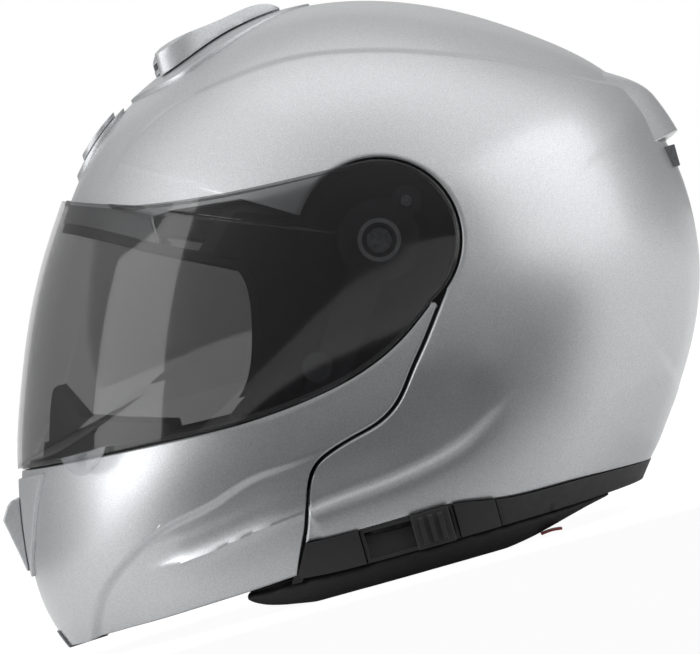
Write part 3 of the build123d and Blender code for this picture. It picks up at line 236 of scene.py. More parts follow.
def polar(curve):
    """Angle (0 ahead, a quarter turn up) and reach of side-view points about the pivot."""
    x, z = np.asarray(curve)[:, 0] - PIVOT_X, np.asarray(curve)[:, 1] - PIVOT_Z
    return np.arctan2(z, -x), np.hypot(x, z)


def reach_at(curve, angles):
    """Reach of a side-view curve from the pivot at each of the angles."""
    at, reach = polar(curve)
    start = angles.min() - math.radians(5)
    at = (at - start) % TURN + start
    order = np.argsort(at)
    return np.interp(angles, at[order], reach[order])


class Skin:
    """A closed skin: its reach from the pivot's axis and its fullness, by angle in side view."""

    def __init__(self, shares, half_width, offset=0.0):
        loop = smooth_curve([(x * LENGTH, z * HEIGHT, n) for x, z, n in shares], closed=True, steps=60)
        self.angle, reach = polar(loop)
        self.reach = reach + offset
        self.fullness = loop[:, 2]
        self.width = half_width + offset

    def at(self, angles):
        """Reach and fullness at the angles."""
        reach = np.interp(angles, self.angle, self.reach, period=TURN)
        return reach, np.interp(angles, self.angle, self.fullness, period=TURN)

    def half_width_at(self, x, z):
        """How far out the skin lies at side-view points."""
        full, fullness = self.at(np.arctan2(z - PIVOT_Z, PIVOT_X - x))
        share = np.clip(np.hypot(x - PIVOT_X, z - PIVOT_Z) / full, 0, 1)
        return self.width * (1 - share ** fullness) ** (1 / fullness)

    def outward(self, x, z):
        """The skin's outward direction on the wearer's left at side-view points."""
        angles, slight = np.arctan2(z - PIVOT_Z, PIVOT_X - x), 0.01
        full, fullness = self.at(angles)
        turn = (self.at(angles + slight)[0] - self.at(angles - slight)[0]) / (2 * slight)
        share = np.clip(np.hypot(x - PIVOT_X, z - PIVOT_Z) / full, 1e-6, 1)
        along = fullness * share ** (fullness - 1) / full
        around = -along * turn / full
        level = self.half_width_at(x, z) / self.width
        across = -fullness * level ** (fullness - 1) / self.width
        found = np.stack([-along * np.cos(angles) + around * np.sin(angles), across,
                          along * np.sin(angles) + around * np.cos(angles)], axis=-1)
        return found / np.linalg.norm(found, axis=-1, keepdims=True)


SHELL = Skin(SHELL_SKIN_SHARES, SHELL_HALF_WIDTH)


def step(value, low, high):
    """0 below low, 1 above high, and a smooth climb between them."""
    t = np.clip((value - low) / (high - low), 0, 1)
    return t * t * (3 - 2 * t)


def beside(curve, x, z):
    """Signed distance of side-view points from a line (+ on its left), and their share of the way along."""
    run = np.diff(curve, axis=0)
    length = np.hypot(*run.T)
    passed = np.concatenate([[0], np.cumsum(length)])
    flat = np.column_stack([x.ravel(), z.ravel()])
    nearest = np.concatenate([
        ((part[:, None] - curve) ** 2).sum(axis=2).argmin(axis=1) for part in np.array_split(flat, 40)])
    best = np.full(len(flat), np.inf)
    signed, along = np.zeros(len(flat)), np.zeros(len(flat))
    for shift in (-1, 0):
        k = np.clip(nearest + shift, 0, len(run) - 1)
        toward = flat - curve[k]
        share = np.clip((toward * run[k]).sum(axis=1) / length[k] ** 2, 0, 1)
        off = toward - share[:, None] * run[k]
        distance = np.hypot(*off.T)
        closer = distance < best
        side_of = np.sign(run[k, 0] * toward[:, 1] - run[k, 1] * toward[:, 0])
        signed[closer] = (distance * side_of)[closer]
        along[closer] = ((passed[k] + share * length[k]) / passed[-1])[closer]
        best[closer] = distance[closer]
    return signed.reshape(x.shape), along.reshape(x.shape)


def on_side(angles, reach):
    """Side-view points at angles and reaches about the pivot."""
    return np.column_stack([PIVOT_X - reach * np.cos(angles), PIVOT_Z + reach * np.sin(angles)])


def skin_strip(skin, inner, outer, rows, roll, press=None, last=None):
    """A grid of points on a skin on the wearer's left, ruled in side view between two matched curves.

    Its free edges are rolled inwards. press gives how far each point is pressed out, and last is the true
    line of its last column, which the columns before it take on bit by bit."""
    samples, bending_columns = 200, 50
    fine = 1 - (1 - np.linspace(0, 1, samples)) ** 2
    bend = np.zeros((len(fine), 2))
    if last is not None:
        chord = last[-1] - last[0]
        share = (last - last[0]) @ chord / (chord @ chord)
        off = last - last[0] - share[:, None] * chord
        bend = np.column_stack([np.interp(fine, share, off[:, 0]), np.interp(fine, share, off[:, 1])])
    before_last = len(inner) - 1 - np.arange(len(inner))
    weight = np.clip(1 - before_last / bending_columns, 0, 1)[:, None, None]

    def place(at):
        bent = np.stack([np.interp(at, fine, bend[:, 0]), np.interp(at, fine, bend[:, 1])], axis=-1)
        flat = inner[:, None] + (outer - inner)[:, None] * at[..., None] + weight * bent
        x, z = flat[..., 0], flat[..., 1]
        return np.stack([x, -skin.half_width_at(x, z), z], axis=-1)

    path = place(np.tile(fine, (len(inner), 1)))
    passed = np.concatenate([np.zeros((len(inner), 1)),
                             np.cumsum(np.linalg.norm(np.diff(path, axis=1), axis=2), axis=1)], axis=1)
    edge = roll * np.array([0, 0.15, 0.35, 0.6, 1.0, 1.5])
    along = np.empty((len(inner), rows))
    at = np.empty((len(inner), rows))
    for i, total in enumerate(passed[:, -1]):
        near = np.minimum(edge, total * np.linspace(0, 0.3, len(edge)))
        middle = np.linspace(near[-1], total - near[-1], rows - 2 * len(near) + 2)[1:-1]
        along[i] = np.concatenate([near, middle, total - near[::-1]])
        at[i] = np.interp(along[i], passed[i], fine)
    points = place(at)
    away = np.hypot(*(inner - (PIVOT_X, PIVOT_Z)).T)
    closed_in = np.hypot(*(outer - (PIVOT_X, PIVOT_Z)).T) > 0.9995 * skin.at(polar(outer)[0])[0]
    from_edge = np.where((away > MM)[:, None], along, 1.0)
    from_edge = np.minimum(from_edge, np.where(closed_in[:, None], 1.0, passed[:, -1:] - along))
    if last is not None:
        steps = np.linalg.norm(np.diff(points, axis=0), axis=2)[::-1]
        from_last = np.concatenate([np.zeros((1, rows)), np.cumsum(steps, axis=0)])[::-1]
        from_edge = np.minimum(from_edge, from_last)
    moved = -np.clip(1 - from_edge / roll, 0, 1) ** 2 * roll * 0.55
    if press is not None:
        moved = moved + press(points[..., 0], points[..., 2])
    points = points + skin.outward(points[..., 0], points[..., 2]) * moved[..., None]
    points[closed_in, -1, 1] = 0
    points[..., 1] = np.minimum(points[..., 1], 0)
    return points


def grid_faces(columns, rows, closed):
    """Quads of a grid of columns by rows."""
    found = []
    for i in range(columns if closed else columns - 1):
        j = (i + 1) % columns
        for k in range(rows - 1):
            found.append((i * rows + k, j * rows + k, j * rows + k + 1, i * rows + k + 1))
    return found


def both_sides(points, faces):
    """A left-hand mesh with its mirror image."""
    flat = points.reshape(-1, 3)
    twin = flat * np.array([1, -1, 1])
    count = len(flat)
    turned = [tuple(count + v for v in reversed(face)) for face in faces]
    return np.concatenate([flat, twin]), list(faces) + turned


def new_piece(name, points, faces, merge=0.02 * MM):
    """A mesh object, with doubled points merged and faces turned outwards."""
    mesh = bpy.data.meshes.new(name)
    mesh.from_pydata([tuple(p) for p in points], [], faces)
    work = bmesh.new()
    work.from_mesh(mesh)
    bmesh.ops.remove_doubles(work, verts=work.verts, dist=merge)
    bmesh.ops.dissolve_degenerate(work, dist=merge, edges=work.edges)
    bmesh.ops.recalc_face_normals(work, faces=work.faces)
    work.to_mesh(mesh)
    work.free()
    piece = bpy.data.objects.new(name, mesh)
    bpy.context.scene.collection.objects.link(piece)
    return piece


def set_shading(piece, sharp_degrees=42.0):
    """Smooth shading that breaks at sharp corners."""
    piece.data.shade_smooth()
    piece.data.set_sharp_from_angle(angle=math.radians(sharp_degrees))


def bake(piece):
    """Applies a piece's modifiers."""
    graph = bpy.context.evaluated_depsgraph_get()
    baked = bpy.data.meshes.new_from_object(piece.evaluated_get(graph))
    piece.modifiers.clear()
    piece.data = baked


def thicken(piece, wall, inward=True):
    """Gives an open sheet its wall."""
    modifier = piece.modifiers.new("wall", "SOLIDIFY")
    modifier.thickness = wall
    modifier.offset = -1 if inward else 1
    bake(piece)


def face_outwards(piece):
    """Turns an open sheet so that its faces look away from the middle of the pivots' axis."""
    work = bmesh.new()
    work.from_mesh(piece.data)
    middle = Vector((PIVOT_X, 0, PIVOT_Z))
    votes = sum((face.calc_center_median() - middle).dot(face.normal) for face in work.faces)
    if votes < 0:
        bmesh.ops.reverse_faces(work, faces=work.faces)
    work.to_mesh(piece.data)
    work.free()


def dress(piece, body, material, replaced=()):
    """Rides a piece on its body, gives it its material and hides the CAD parts that it stands for."""
    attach(piece, body)
    piece.data.materials.clear()
    piece.data.materials.append(material)
    if replaced:
        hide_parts(*replaced)
    return piece


def make_sheet(name, grid, wall, body, material, replaced=(), closed=False, inward=True,
               sharp=42.0):
    """Makes a grid of points on the wearer's left and its mirror image into a dressed piece with a wall."""
    columns, rows = grid.shape[:2]
    sheet = new_piece(name, *both_sides(grid, grid_faces(columns, rows, closed)))
    face_outwards(sheet)
    thicken(sheet, wall, inward)
    set_shading(sheet, sharp)
    return dress(sheet, body, MATERIALS[material], replaced)


def paint_nodes(material, *names, bevel=0.0):
    """Gives carried-over CAD parts their material, with softened edges."""
    for name in names:
        part = frame["nodes"][name]
        part.data.materials.clear()
        part.data.materials.append(material)
        if bevel:
            weld = part.modifiers.new("weld", "WELD")
            weld.merge_threshold = 0.01 * MM
            edges = part.modifiers.new("edges", "BEVEL")
            edges.width = bevel
            edges.segments = 2
            edges.limit_method = "ANGLE"
            edges.angle_limit = math.radians(38)
            edges.harden_normals = False


# Materials
MATERIALS = {}


def add_node(tree, kind, settings=None, links=None):
    """Adds a shader node with its settings and the links that feed it."""
    node = tree.nodes.new(kind)
    for key, value in (settings or {}).items():
        if isinstance(key, str) and hasattr(node, key):
            setattr(node, key, value)
        else:
            node.inputs[key].default_value = value
    for key, source in (links or {}).items():
        tree.links.new(source, node.inputs[key])
    return node


# Textures that a pattern can name
NOISE = "ShaderNodeTexNoise"
CELLS = "ShaderNodeTexVoronoi"
THREADS = "ShaderNodeTexWave"


def drawn(tree, where, pattern):
    """The link that a pattern gives: a texture, the size of its spots, and its detail or thread profile."""
    kind, size, detail = pattern
    if kind != THREADS:
        texture = add_node(tree, kind, {"Scale": 1 / size, "Detail": detail}, {"Vector": where})
        return texture.outputs["Distance" if kind == CELLS else "Fac"]
    # Threads crossed in plan, and level from the side
    across, along, level = [
        add_node(tree, kind, {"Scale": 0.5 / size, "bands_direction": axis, "wave_profile": detail},
                 {"Vector": where}).outputs["Fac"]
        for axis in "XYZ"]
    crossed = add_node(tree, "ShaderNodeMath", {"operation": "MULTIPLY"}, {0: across, 1: along})
    total = add_node(tree, "ShaderNodeMath", {"operation": "ADD"}, {0: crossed.outputs["Value"], 1: level})
    return total.outputs["Value"]


def surface(name, settings, colour, rough, height=None, bump_depth=0.0, bump=0.5):
    """A Principled surface with a pattern each for its colour, its roughness and its relief.

    colour is a pattern, the colours at its ends and, where they aren't 0.3 and 0.7, the levels of those ends.
    rough is a pattern and the roughness at 0 and 1."""
    material = bpy.data.materials.new(name)
    material.use_nodes = True
    tree = material.node_tree
    tree.nodes.clear()
    where = add_node(tree, "ShaderNodeTexCoord").outputs["Object"]
    pattern, low, high, *levels = colour
    ramp = add_node(tree, "ShaderNodeValToRGB", links={"Fac": drawn(tree, where, pattern)})
    for end, shade, level in zip(ramp.color_ramp.elements, (low, high), levels or (0.3, 0.7)):
        end.position = level
        end.color = (*shade, 1)
    pattern, low, high = rough
    grit = add_node(tree, "ShaderNodeMapRange", {"To Min": low, "To Max": high},
                    {"Value": drawn(tree, where, pattern)})
    links = {"Base Color": ramp.outputs["Color"], "Roughness": grit.outputs["Result"]}
    if height:
        relief = add_node(tree, "ShaderNodeBump", {"Distance": bump_depth, "Strength": bump},
                          {"Height": drawn(tree, where, height)})
        links["Normal"] = relief.outputs["Normal"]
    shader = add_node(tree, "ShaderNodeBsdfPrincipled", settings, links)
    add_node(tree, "ShaderNodeOutputMaterial", links={"Surface": shader.outputs["BSDF"]})
    MATERIALS[name] = material


def scaled(colour, factor):
    """A colour made lighter or darker."""
    return tuple(min(1.0, c * factor) for c in colour)


def make_materials(sizes, colours):
    """Every finish of the helmet, each named for the real material and how it was made."""
    paint = tuple(colours.paint)
    flakes = (NOISE, sizes.flake, 1.0)
    # Aluminium flake base coat under clear lacquer: a broad soft sheen with a fine sparkle
    surface("flake_basecoat_lacquered",
            {"Metallic": 0.82, "Coat Weight": 0.35, "Coat Roughness": 0.12, "Coat IOR": 1.5},
            colour=(flakes, scaled(paint, 0.86), scaled(paint, 1.12)),
            rough=((NOISE, 14 * MM, 2.0), 0.34, 0.40), height=flakes, bump_depth=0.05 * MM, bump=0.35)
    # The same paint over small mouldings: a little duller
    surface("flake_paint_on_abs",
            {"Metallic": 0.7, "Coat Weight": 0.2, "Coat Roughness": 0.2},
            colour=(flakes, scaled(paint, 0.80), scaled(paint, 1.02)),
            rough=((NOISE, 9 * MM, 2.0), 0.38, 0.46), height=flakes, bump_depth=0.05 * MM, bump=0.3)
    # Injection moulded smoke polycarbonate with a hard coat: dark, see-through and sharp in its reflections
    surface("smoke_polycarbonate_hardcoated",
            {"Metallic": 0.0, "IOR": 1.58, "Alpha": 0.45, "Coat Weight": 0.25, "Coat Roughness": 0.02},
            colour=((NOISE, 60 * MM, 1.0), scaled(tuple(colours.lens), 0.9), tuple(colours.lens)),
            rough=((NOISE, 40 * MM, 1.0), 0.04, 0.07))
    # Thinner tinted polycarbonate of the inner visor: a shade darker than what lies behind it
    surface("sun_visor_polycarbonate",
            {"IOR": 1.58, "Alpha": 0.18},
            colour=((NOISE, 50 * MM, 1.0), linear("#0c0c0d"), linear("#141416")),
            rough=((NOISE, 30 * MM, 1.0), 0.05, 0.08))
    # Clear polycarbonate: bright edges, nearly colourless
    surface("clear_polycarbonate_moulded",
            {"IOR": 1.58, "Alpha": 0.45, "Coat Weight": 0.6, "Coat Roughness": 0.03},
            colour=((NOISE, 6 * MM, 1.0), linear("#c9cdd0"), linear("#eef0f1")),
            rough=((NOISE, 5 * MM, 1.0), 0.05, 0.12))
    # The same plastic from a polished mould: see-through, with bright rims
    surface("clear_polycarbonate_polished",
            {"IOR": 1.58, "Alpha": 0.24, "Coat Weight": 0.8, "Coat Roughness": 0.02},
            colour=((NOISE, 6 * MM, 1.0), linear("#8d9194"), linear("#b4b8bb")),
            rough=((NOISE, 5 * MM, 1.0), 0.04, 0.08))
    plastic = tuple(colours.plastic)
    grain = (NOISE, 0.6 * MM, 3.0)
    # Black ABS from a spark-eroded mould: an even matt grain
    surface("black_abs_grained", {"IOR": 1.5},
            colour=(grain, scaled(plastic, 0.8), scaled(plastic, 1.2)),
            rough=(grain, 0.42, 0.56), height=grain, bump_depth=0.06 * MM, bump=0.5)
    # Dark grey nylon with glass fibre: satin, slightly mottled
    surface("grey_nylon_moulded", {"IOR": 1.53},
            colour=((NOISE, 2.5 * MM, 3.0), linear("#303033"), linear("#3c3c40")),
            rough=(grain, 0.34, 0.46), height=grain, bump_depth=0.05 * MM, bump=0.4)
    # Mid grey ABS, satin painted: the release lever, the arm caps and the rear vent's insert
    surface("grey_abs_satin", {"IOR": 1.5, "Metallic": 0.2},
            colour=((NOISE, 1.2 * MM, 3.0), linear("#55575a"), linear("#66686b")),
            rough=(grain, 0.36, 0.46), height=grain, bump_depth=0.04 * MM, bump=0.35)
    # EPDM rubber, extruded: soft, nearly matt, with faint die lines
    surface("black_rubber_extruded", {"IOR": 1.52},
            colour=((NOISE, 3 * MM, 2.0), linear("#1a1a1b"), linear("#242425")),
            rough=((NOISE, 1.5 * MM, 2.0), 0.55, 0.68), height=(NOISE, 0.8 * MM, 2.0),
            bump_depth=0.05 * MM, bump=0.4)
    beads = (CELLS, sizes.bead, 0.0)
    # Expanded polystyrene, steam moulded: fused round beads with dark joints
    surface("expanded_foam_beads", {"IOR": 1.4},
            colour=(beads, linear("#2b2b2d"), linear("#161617"), 0.2, 0.75),
            rough=(beads, 0.65, 0.8), height=beads, bump_depth=0.25 * MM, bump=0.6)
    lining = tuple(colours.lining)
    loops = (THREADS, sizes.knit, "SIN")
    # Brushed polyester knit over foam: small loops and a dusty sheen
    surface("polyester_knit_brushed", {"Sheen Weight": 0.35, "Sheen Roughness": 0.5, "IOR": 1.45},
            colour=(loops, scaled(lining, 0.65), scaled(lining, 1.5), 0.2, 1.2),
            rough=(loops, 0.78, 0.92), height=loops, bump_depth=0.3 * MM, bump=0.7)
    pebbles = (CELLS, 1.6 * MM, 0.0)
    # Coated knit (artificial leather) of the neck roll: pebbled, low sheen
    surface("coated_knit_pebbled", {"IOR": 1.5},
            colour=(pebbles, scaled(lining, 0.9), scaled(lining, 1.25)),
            rough=(pebbles, 0.5, 0.62), height=pebbles, bump_depth=0.15 * MM, bump=0.5)
    ribs = (THREADS, 1.0 * MM, "TRI")
    # Polyamide webbing, woven: flat ribs across the strap
    surface("polyamide_webbing_woven", {"Sheen Weight": 0.2, "IOR": 1.5},
            colour=(ribs, linear("#0f0f10"), linear("#262628"), 0.2, 1.4),
            rough=(ribs, 0.6, 0.78), height=ribs, bump_depth=0.25 * MM, bump=0.8)
    ribbon = tuple(colours.ribbon)
    fine_ribs = (THREADS, 0.8 * MM, "TRI")
    # Polyester ribbon, woven and dyed
    surface("polyester_ribbon_dyed", {"Sheen Weight": 0.3, "IOR": 1.5},
            colour=(fine_ribs, scaled(ribbon, 0.7), scaled(ribbon, 1.2), 0.2, 1.4),
            rough=(fine_ribs, 0.6, 0.75), height=fine_ribs, bump_depth=0.15 * MM, bump=0.7)
    # Stamped steel, barrel polished and zinc plated: bright with fine scratches
    surface("steel_zinc_plated", {"Metallic": 1.0},
            colour=((NOISE, 2 * MM, 3.0), linear("#9a9ca0"), linear("#c2c4c8")),
            rough=((NOISE, 0.5 * MM, 3.0), 0.24, 0.38), height=(NOISE, 0.4 * MM, 3.0),
            bump_depth=0.02 * MM, bump=0.4)


# Pressed lines
def bump_along(line, x, z, left, right, start, end):
    """A rounded ridge of height 1 along a side-view line, with its fall to the left and right of it."""
    off, along = beside(line, x, z)
    fall = np.where(off > 0, np.exp(-off / left), np.exp(off / right))
    fall = fall * (1 - step(np.abs(off), max(left, right), 1.9 * max(left, right)))
    return fall * step(along, 0.0, start) * (1 - step(along, end, max(0.97, end + 0.01)))


def press_shell(depth):
    """The shell's pressed lines: the upper step, the flank valley and the ridges at the rear."""
    upper, flank, rear_flank, rear_edge = [
        smooth_curve(side(shares), steps=6)
        for shares in (UPPER_LINE_SHARES, FLANK_LINE_SHARES, REAR_FLANK_SHARES, REAR_EDGE_SHARES)]

    def press(x, z):
        off, along = beside(upper, x, z)
        lift = step(along, 0.0, 0.22) * (1 - step(along, 0.90, 1.0))
        below = 1 - step(off, -1.2 * MM, 1.6 * MM)
        raised = 0.8 * depth * lift * below * (1 - step(-off, 6 * MM, 50 * MM))
        raised += 0.5 * depth * lift * np.exp(-((off - 24 * MM) / (11 * MM)) ** 2)
        raised -= 1.3 * depth * bump_along(flank, x, z, 24 * MM, 4 * MM, 0.02, 0.6)
        raised += 0.9 * depth * bump_along(flank, x, z, 3 * MM, 20 * MM, 0.02, 0.7)
        raised += 0.6 * depth * bump_along(rear_flank, x, z, 22 * MM, 12 * MM, 0.5, 0.9)
        raised += 0.6 * depth * bump_along(rear_edge, x, z, 14 * MM, 14 * MM, 0.1, 0.7)
        return raised
    return press


def press_chin(depth):
    """The chin bar's pressed lines: the scoop inside the arc and the ridge below it."""
    arc = smooth_curve(side(CHIN_ARC_SHARES), steps=8)
    ridge = smooth_curve(side(CHIN_RIDGE_SHARES), steps=8)

    def press(x, z):
        off, along = beside(arc, x, z)
        inside = -off
        edge = step(inside, -1.0 * MM, 3.5 * MM) * (1 - 0.85 * step(along, 0.55, 0.95))
        raised = -1.1 * depth * edge * (1 - 0.55 * step(inside, 14 * MM, 40 * MM))
        raised += 0.9 * depth * edge * bump_along(ridge, x, z, 8 * MM, 3.0 * MM, 0.3, 1.0)
        raised += 0.5 * depth * edge * bump_along(ridge, x, z, 2 * MM, 16 * MM, 0.3, 1.0)
        return raised
    return press


def reach_of(skin, angles):
    """The skin's own silhouette reach."""
    return skin.at(angles)[0]


def crossing(curve, skin):
    """The angle at which a side-view curve leaves the skin's silhouette, at its front end."""
    angles, reach = polar(curve)
    gap = reach - np.interp(angles, skin.angle, skin.reach, period=TURN)
    first = int(np.argmax(gap < 0))
    if first == 0:
        return angles[0]
    share = gap[first - 1] / (gap[first - 1] - gap[first])
    return angles[first - 1] + share * (angles[first] - angles[first - 1])


def pod_reach(angles):
    """Reach of the round pod's edge, with the gap round it."""
    return np.full(len(angles), POD_RADIUS + POD_GAP)


def apart(angles, least=1e-4):
    """Sorted angles, without those that lie almost on the one before."""
    angles = np.sort(angles)
    return angles[np.concatenate([[True], np.diff(angles) > least])]


class HelmetPiece:
    """What the operators share: undo, and the sizes of the scene."""

    bl_options = {"REGISTER", "UNDO"}

    @property
    def sizes(self):
        return bpy.context.scene.helmet_sizes


class HELMET_OT_shell(HelmetPiece, bpy.types.Operator):
    """Painted shell with its pressed lines, and the black pan of each pivot recess."""

    bl_idname = "helmet.shell"
    bl_label = "Painted shell"

    def execute(self, context):
        sizes = self.sizes
        brow = smooth_curve(side(EYEPORT_TOP_SHARES))
        split = smooth_curve(side(SPLIT_SHARES))
        foot = smooth_curve(side(SHELL_FOOT_SHARES))
        recess_top = straight(side(RECESS_TOP_SHARES))
        start = polar(side(RECESS_TOP_SHARES)[-1:])[0][0]
        front = crossing(brow, SHELL)
        pod_top = math.radians(33)
        wedge = polar(split[:1])[0][0] + TURN
        bend = CURVE_STEPS * SPLIT_BEND
        corner = polar(split[bend:bend + 1])[0][0] + TURN
        tip = polar(split[-1:])[0][0] + TURN
        foot_rear = crossing(foot[::-1], SHELL) + TURN
        close = np.array([0, 0.3, 0.6, 1.0, 1.5, 2.2]) * MM / (140 * MM)
        fan = math.radians(3) * np.linspace(0, 1, 40) ** 2
        angles = apart(np.concatenate([
            np.linspace(start, front, 26), np.linspace(front, pod_top, 18), np.linspace(pod_top, wedge, 240),
            np.linspace(wedge, tip, 90), tip - close, front - fan, foot_rear + fan]))
        reach = np.where(angles < pod_top, reach_at(recess_top, angles), pod_reach(angles))
        inner = on_side(angles, reach)
        later = angles > wedge
        turned = wedge + (angles[later] - wedge) * (corner - wedge) / (tip - wedge)
        inner[later] = on_side(turned, reach_at(split[:bend + 1], turned))
        outer = reach_of(SHELL, angles)
        outer = np.where(angles < front, np.minimum(outer, reach_at(brow, angles)), outer)
        outer = np.where(angles > foot_rear, np.minimum(outer, reach_at(foot, angles)), outer)
        outer = np.where(later, outer, np.maximum(outer, reach + 0.01 * MM))
        grid = skin_strip(SHELL, inner, on_side(angles, outer), 84, sizes.edge_roll,
                          press_shell(sizes.press_depth), split[bend:])
        make_sheet("painted_shell", grid, sizes.shell_wall, "helmet_shell", "flake_basecoat_lacquered",
                   ["outer_shell"])
        paint_nodes(MATERIALS["black_abs_grained"], "pivot_pan_left", "pivot_pan_right", bevel=0.4 * MM)
        return {"FINISHED"}


class HELMET_OT_chin_bar(HelmetPiece, bpy.types.Operator):
    """Painted chin bar with its scoop and ridge."""

    bl_idname = "helmet.chin_bar"
    bl_label = "Painted chin bar"

    def execute(self, context):
        sizes = self.sizes
        gap = 1.0 * MM
        top = smooth_curve([(x + 0.5 * gap, z) for x, z in side(SHIELD_LOW_SHARES, -gap)])
        split = smooth_curve([(x - 1.2 * gap, z + 1.2 * gap) for x, z in side(SPLIT_SHARES)])
        foot = smooth_curve(side(CHIN_FOOT_SHARES))
        foot_front = crossing(foot, SHELL)
        top_front = crossing(top, SHELL)
        under = foot[::-1]
        under = under[polar(under)[0] < foot_front]
        ahead = np.linspace(foot_front, top_front - 0.002, 120)
        edge = np.concatenate([split, straight([tuple(split[-1]), tuple(foot[-1])], 12)[1:], under[1:],
                               on_side(ahead, reach_of(SHELL, ahead))])
        passed = np.concatenate([[0], np.cumsum(np.hypot(*np.diff(edge, axis=0).T))])
        meet = passed[len(split) + 10 + len(under)]
        fan = 12 * MM * np.linspace(0, 1, 36) ** 2
        even = apart(np.concatenate([np.linspace(0, passed[-1], 330), meet - fan]), 0.02 * MM)
        outer = np.column_stack([np.interp(even, passed, edge[:, 0]), np.interp(even, passed, edge[:, 1])])
        turned = polar(outer)[0]
        stations = [passed[CURVE_STEPS * 3], passed[len(split) - 1], meet]
        aims = [np.interp(stations[0], even, turned), math.radians(-43), foot_front]
        window = (even > stations[0]) & (even < meet)
        turned[window] = np.interp(even[window], stations, aims)
        inner_reach = np.maximum(reach_at(top, turned), pod_reach(turned))
        first = int(np.argmax(polar(outer)[1] > inner_reach + 1.2 * MM))
        inner, outer = on_side(turned, inner_reach)[first:], outer[first:]
        grid = skin_strip(SHELL, inner, outer, 72, sizes.edge_roll, press_chin(sizes.press_depth))
        make_sheet("painted_chin_bar", grid, sizes.shell_wall, "chin", "flake_basecoat_lacquered",
                   ["chin_bar"])
        return {"FINISHED"}


class HELMET_OT_shield(HelmetPiece, bpy.types.Operator):
    """Smoke face shield, its clear turning rings and the clear lift tab."""

    bl_idname = "helmet.shield"
    bl_label = "Face shield"

    def execute(self, context):
        quarter = TURN / 4
        skin = Skin(SHIELD_SKIN_SHARES, SHIELD_HALF_WIDTH)
        top = smooth_curve(side(SHIELD_TOP_SHARES) + [(PIVOT_X, PIVOT_Z + POD_RADIUS)])
        low_angle = polar(side(SHIELD_LOW_SHARES)[-1:])[0][0]
        low_end = (PIVOT_X - POD_RADIUS * math.cos(low_angle), PIVOT_Z + POD_RADIUS * math.sin(low_angle))
        low = smooth_curve(side(SHIELD_LOW_SHARES)[:-1] + [low_end])
        top_front = crossing(top, skin)
        low_front = crossing(low, skin)
        angles = np.unique(np.concatenate([
            np.linspace(low_front, top_front, 60), np.linspace(top_front, quarter, 90),
            np.linspace(quarter, low_angle + TURN, 70),
            np.linspace(low_angle + TURN, low_front + TURN, 90)]))
        angles = angles[:-1]
        outer = np.full(len(angles), POD_RADIUS)
        outer = np.where(angles < quarter, reach_at(top, angles), outer)
        lower = angles > low_angle + TURN
        outer = np.where(lower, reach_at(low, np.where(lower, angles, low_front + TURN)), outer)
        free = (angles >= low_front) & (angles <= top_front)
        outer = np.where(free, reach_of(skin, angles), np.minimum(outer, reach_of(skin, angles)))
        grid = skin_strip(skin, on_side(angles, np.zeros(len(angles))), on_side(angles, outer), 64, 0.9 * MM)
        make_sheet("smoke_shield", grid, self.sizes.shield_wall, "shield", "smoke_polycarbonate_hardcoated",
                   ["face_shield"], closed=True, sharp=60.0)
        paint_nodes(MATERIALS["clear_polycarbonate_moulded"], "shield_pivot_rings")
        paint_nodes(MATERIALS["clear_polycarbonate_polished"], "shield_lift_tab", bevel=0.6 * MM)
        return {"FINISHED"}


class HELMET_OT_pods(HelmetPiece, bpy.types.Operator):
    """Pivot plates, arms, ratchets and screws that show through the shield."""

    bl_idname = "helmet.pods"
    bl_label = "Pivot pods"

    def execute(self, context):
        edge = 0.5 * MM
        paint_nodes(MATERIALS["black_abs_grained"], "pivot_base_left", "pivot_base_right", bevel=edge)
        paint_nodes(MATERIALS["grey_nylon_moulded"], "chin_pivot_arm_left", "chin_pivot_arm_right",
                    "shield_ratchet_left", "shield_ratchet_right", bevel=edge)
        paint_nodes(MATERIALS["grey_abs_satin"], "arm_caps", bevel=edge)
        paint_nodes(MATERIALS["steel_zinc_plated"], "pivot_screw_left", "pivot_screw_right", "ratchet_screws",
                    bevel=0.3 * MM)
        return {"FINISHED"}


class HELMET_OT_latches(HelmetPiece, bpy.types.Operator):
    """Latch hooks, their pins and the release lever under the chin."""

    bl_idname = "helmet.latches"
    bl_label = "Latches and release lever"

    def execute(self, context):
        paint_nodes(MATERIALS["steel_zinc_plated"], "latch_hook_left", "latch_hook_right", "latch_pivots",
                    "striker_pins", "sun_visor_pins", bevel=0.3 * MM)
        paint_nodes(MATERIALS["grey_abs_satin"], "chin_release_lever", bevel=1.0 * MM)
        return {"FINISHED"}


class HELMET_OT_sun_visor(HelmetPiece, bpy.types.Operator):
    """Drop-down sun visor and the slider that works it."""

    bl_idname = "helmet.sun_visor"
    bl_label = "Sun visor"

    def execute(self, context):
        paint_nodes(MATERIALS["sun_visor_polycarbonate"], "sun_visor")
        paint_nodes(MATERIALS["black_abs_grained"], "sun_visor_slider", bevel=0.5 * MM)
        return {"FINISHED"}


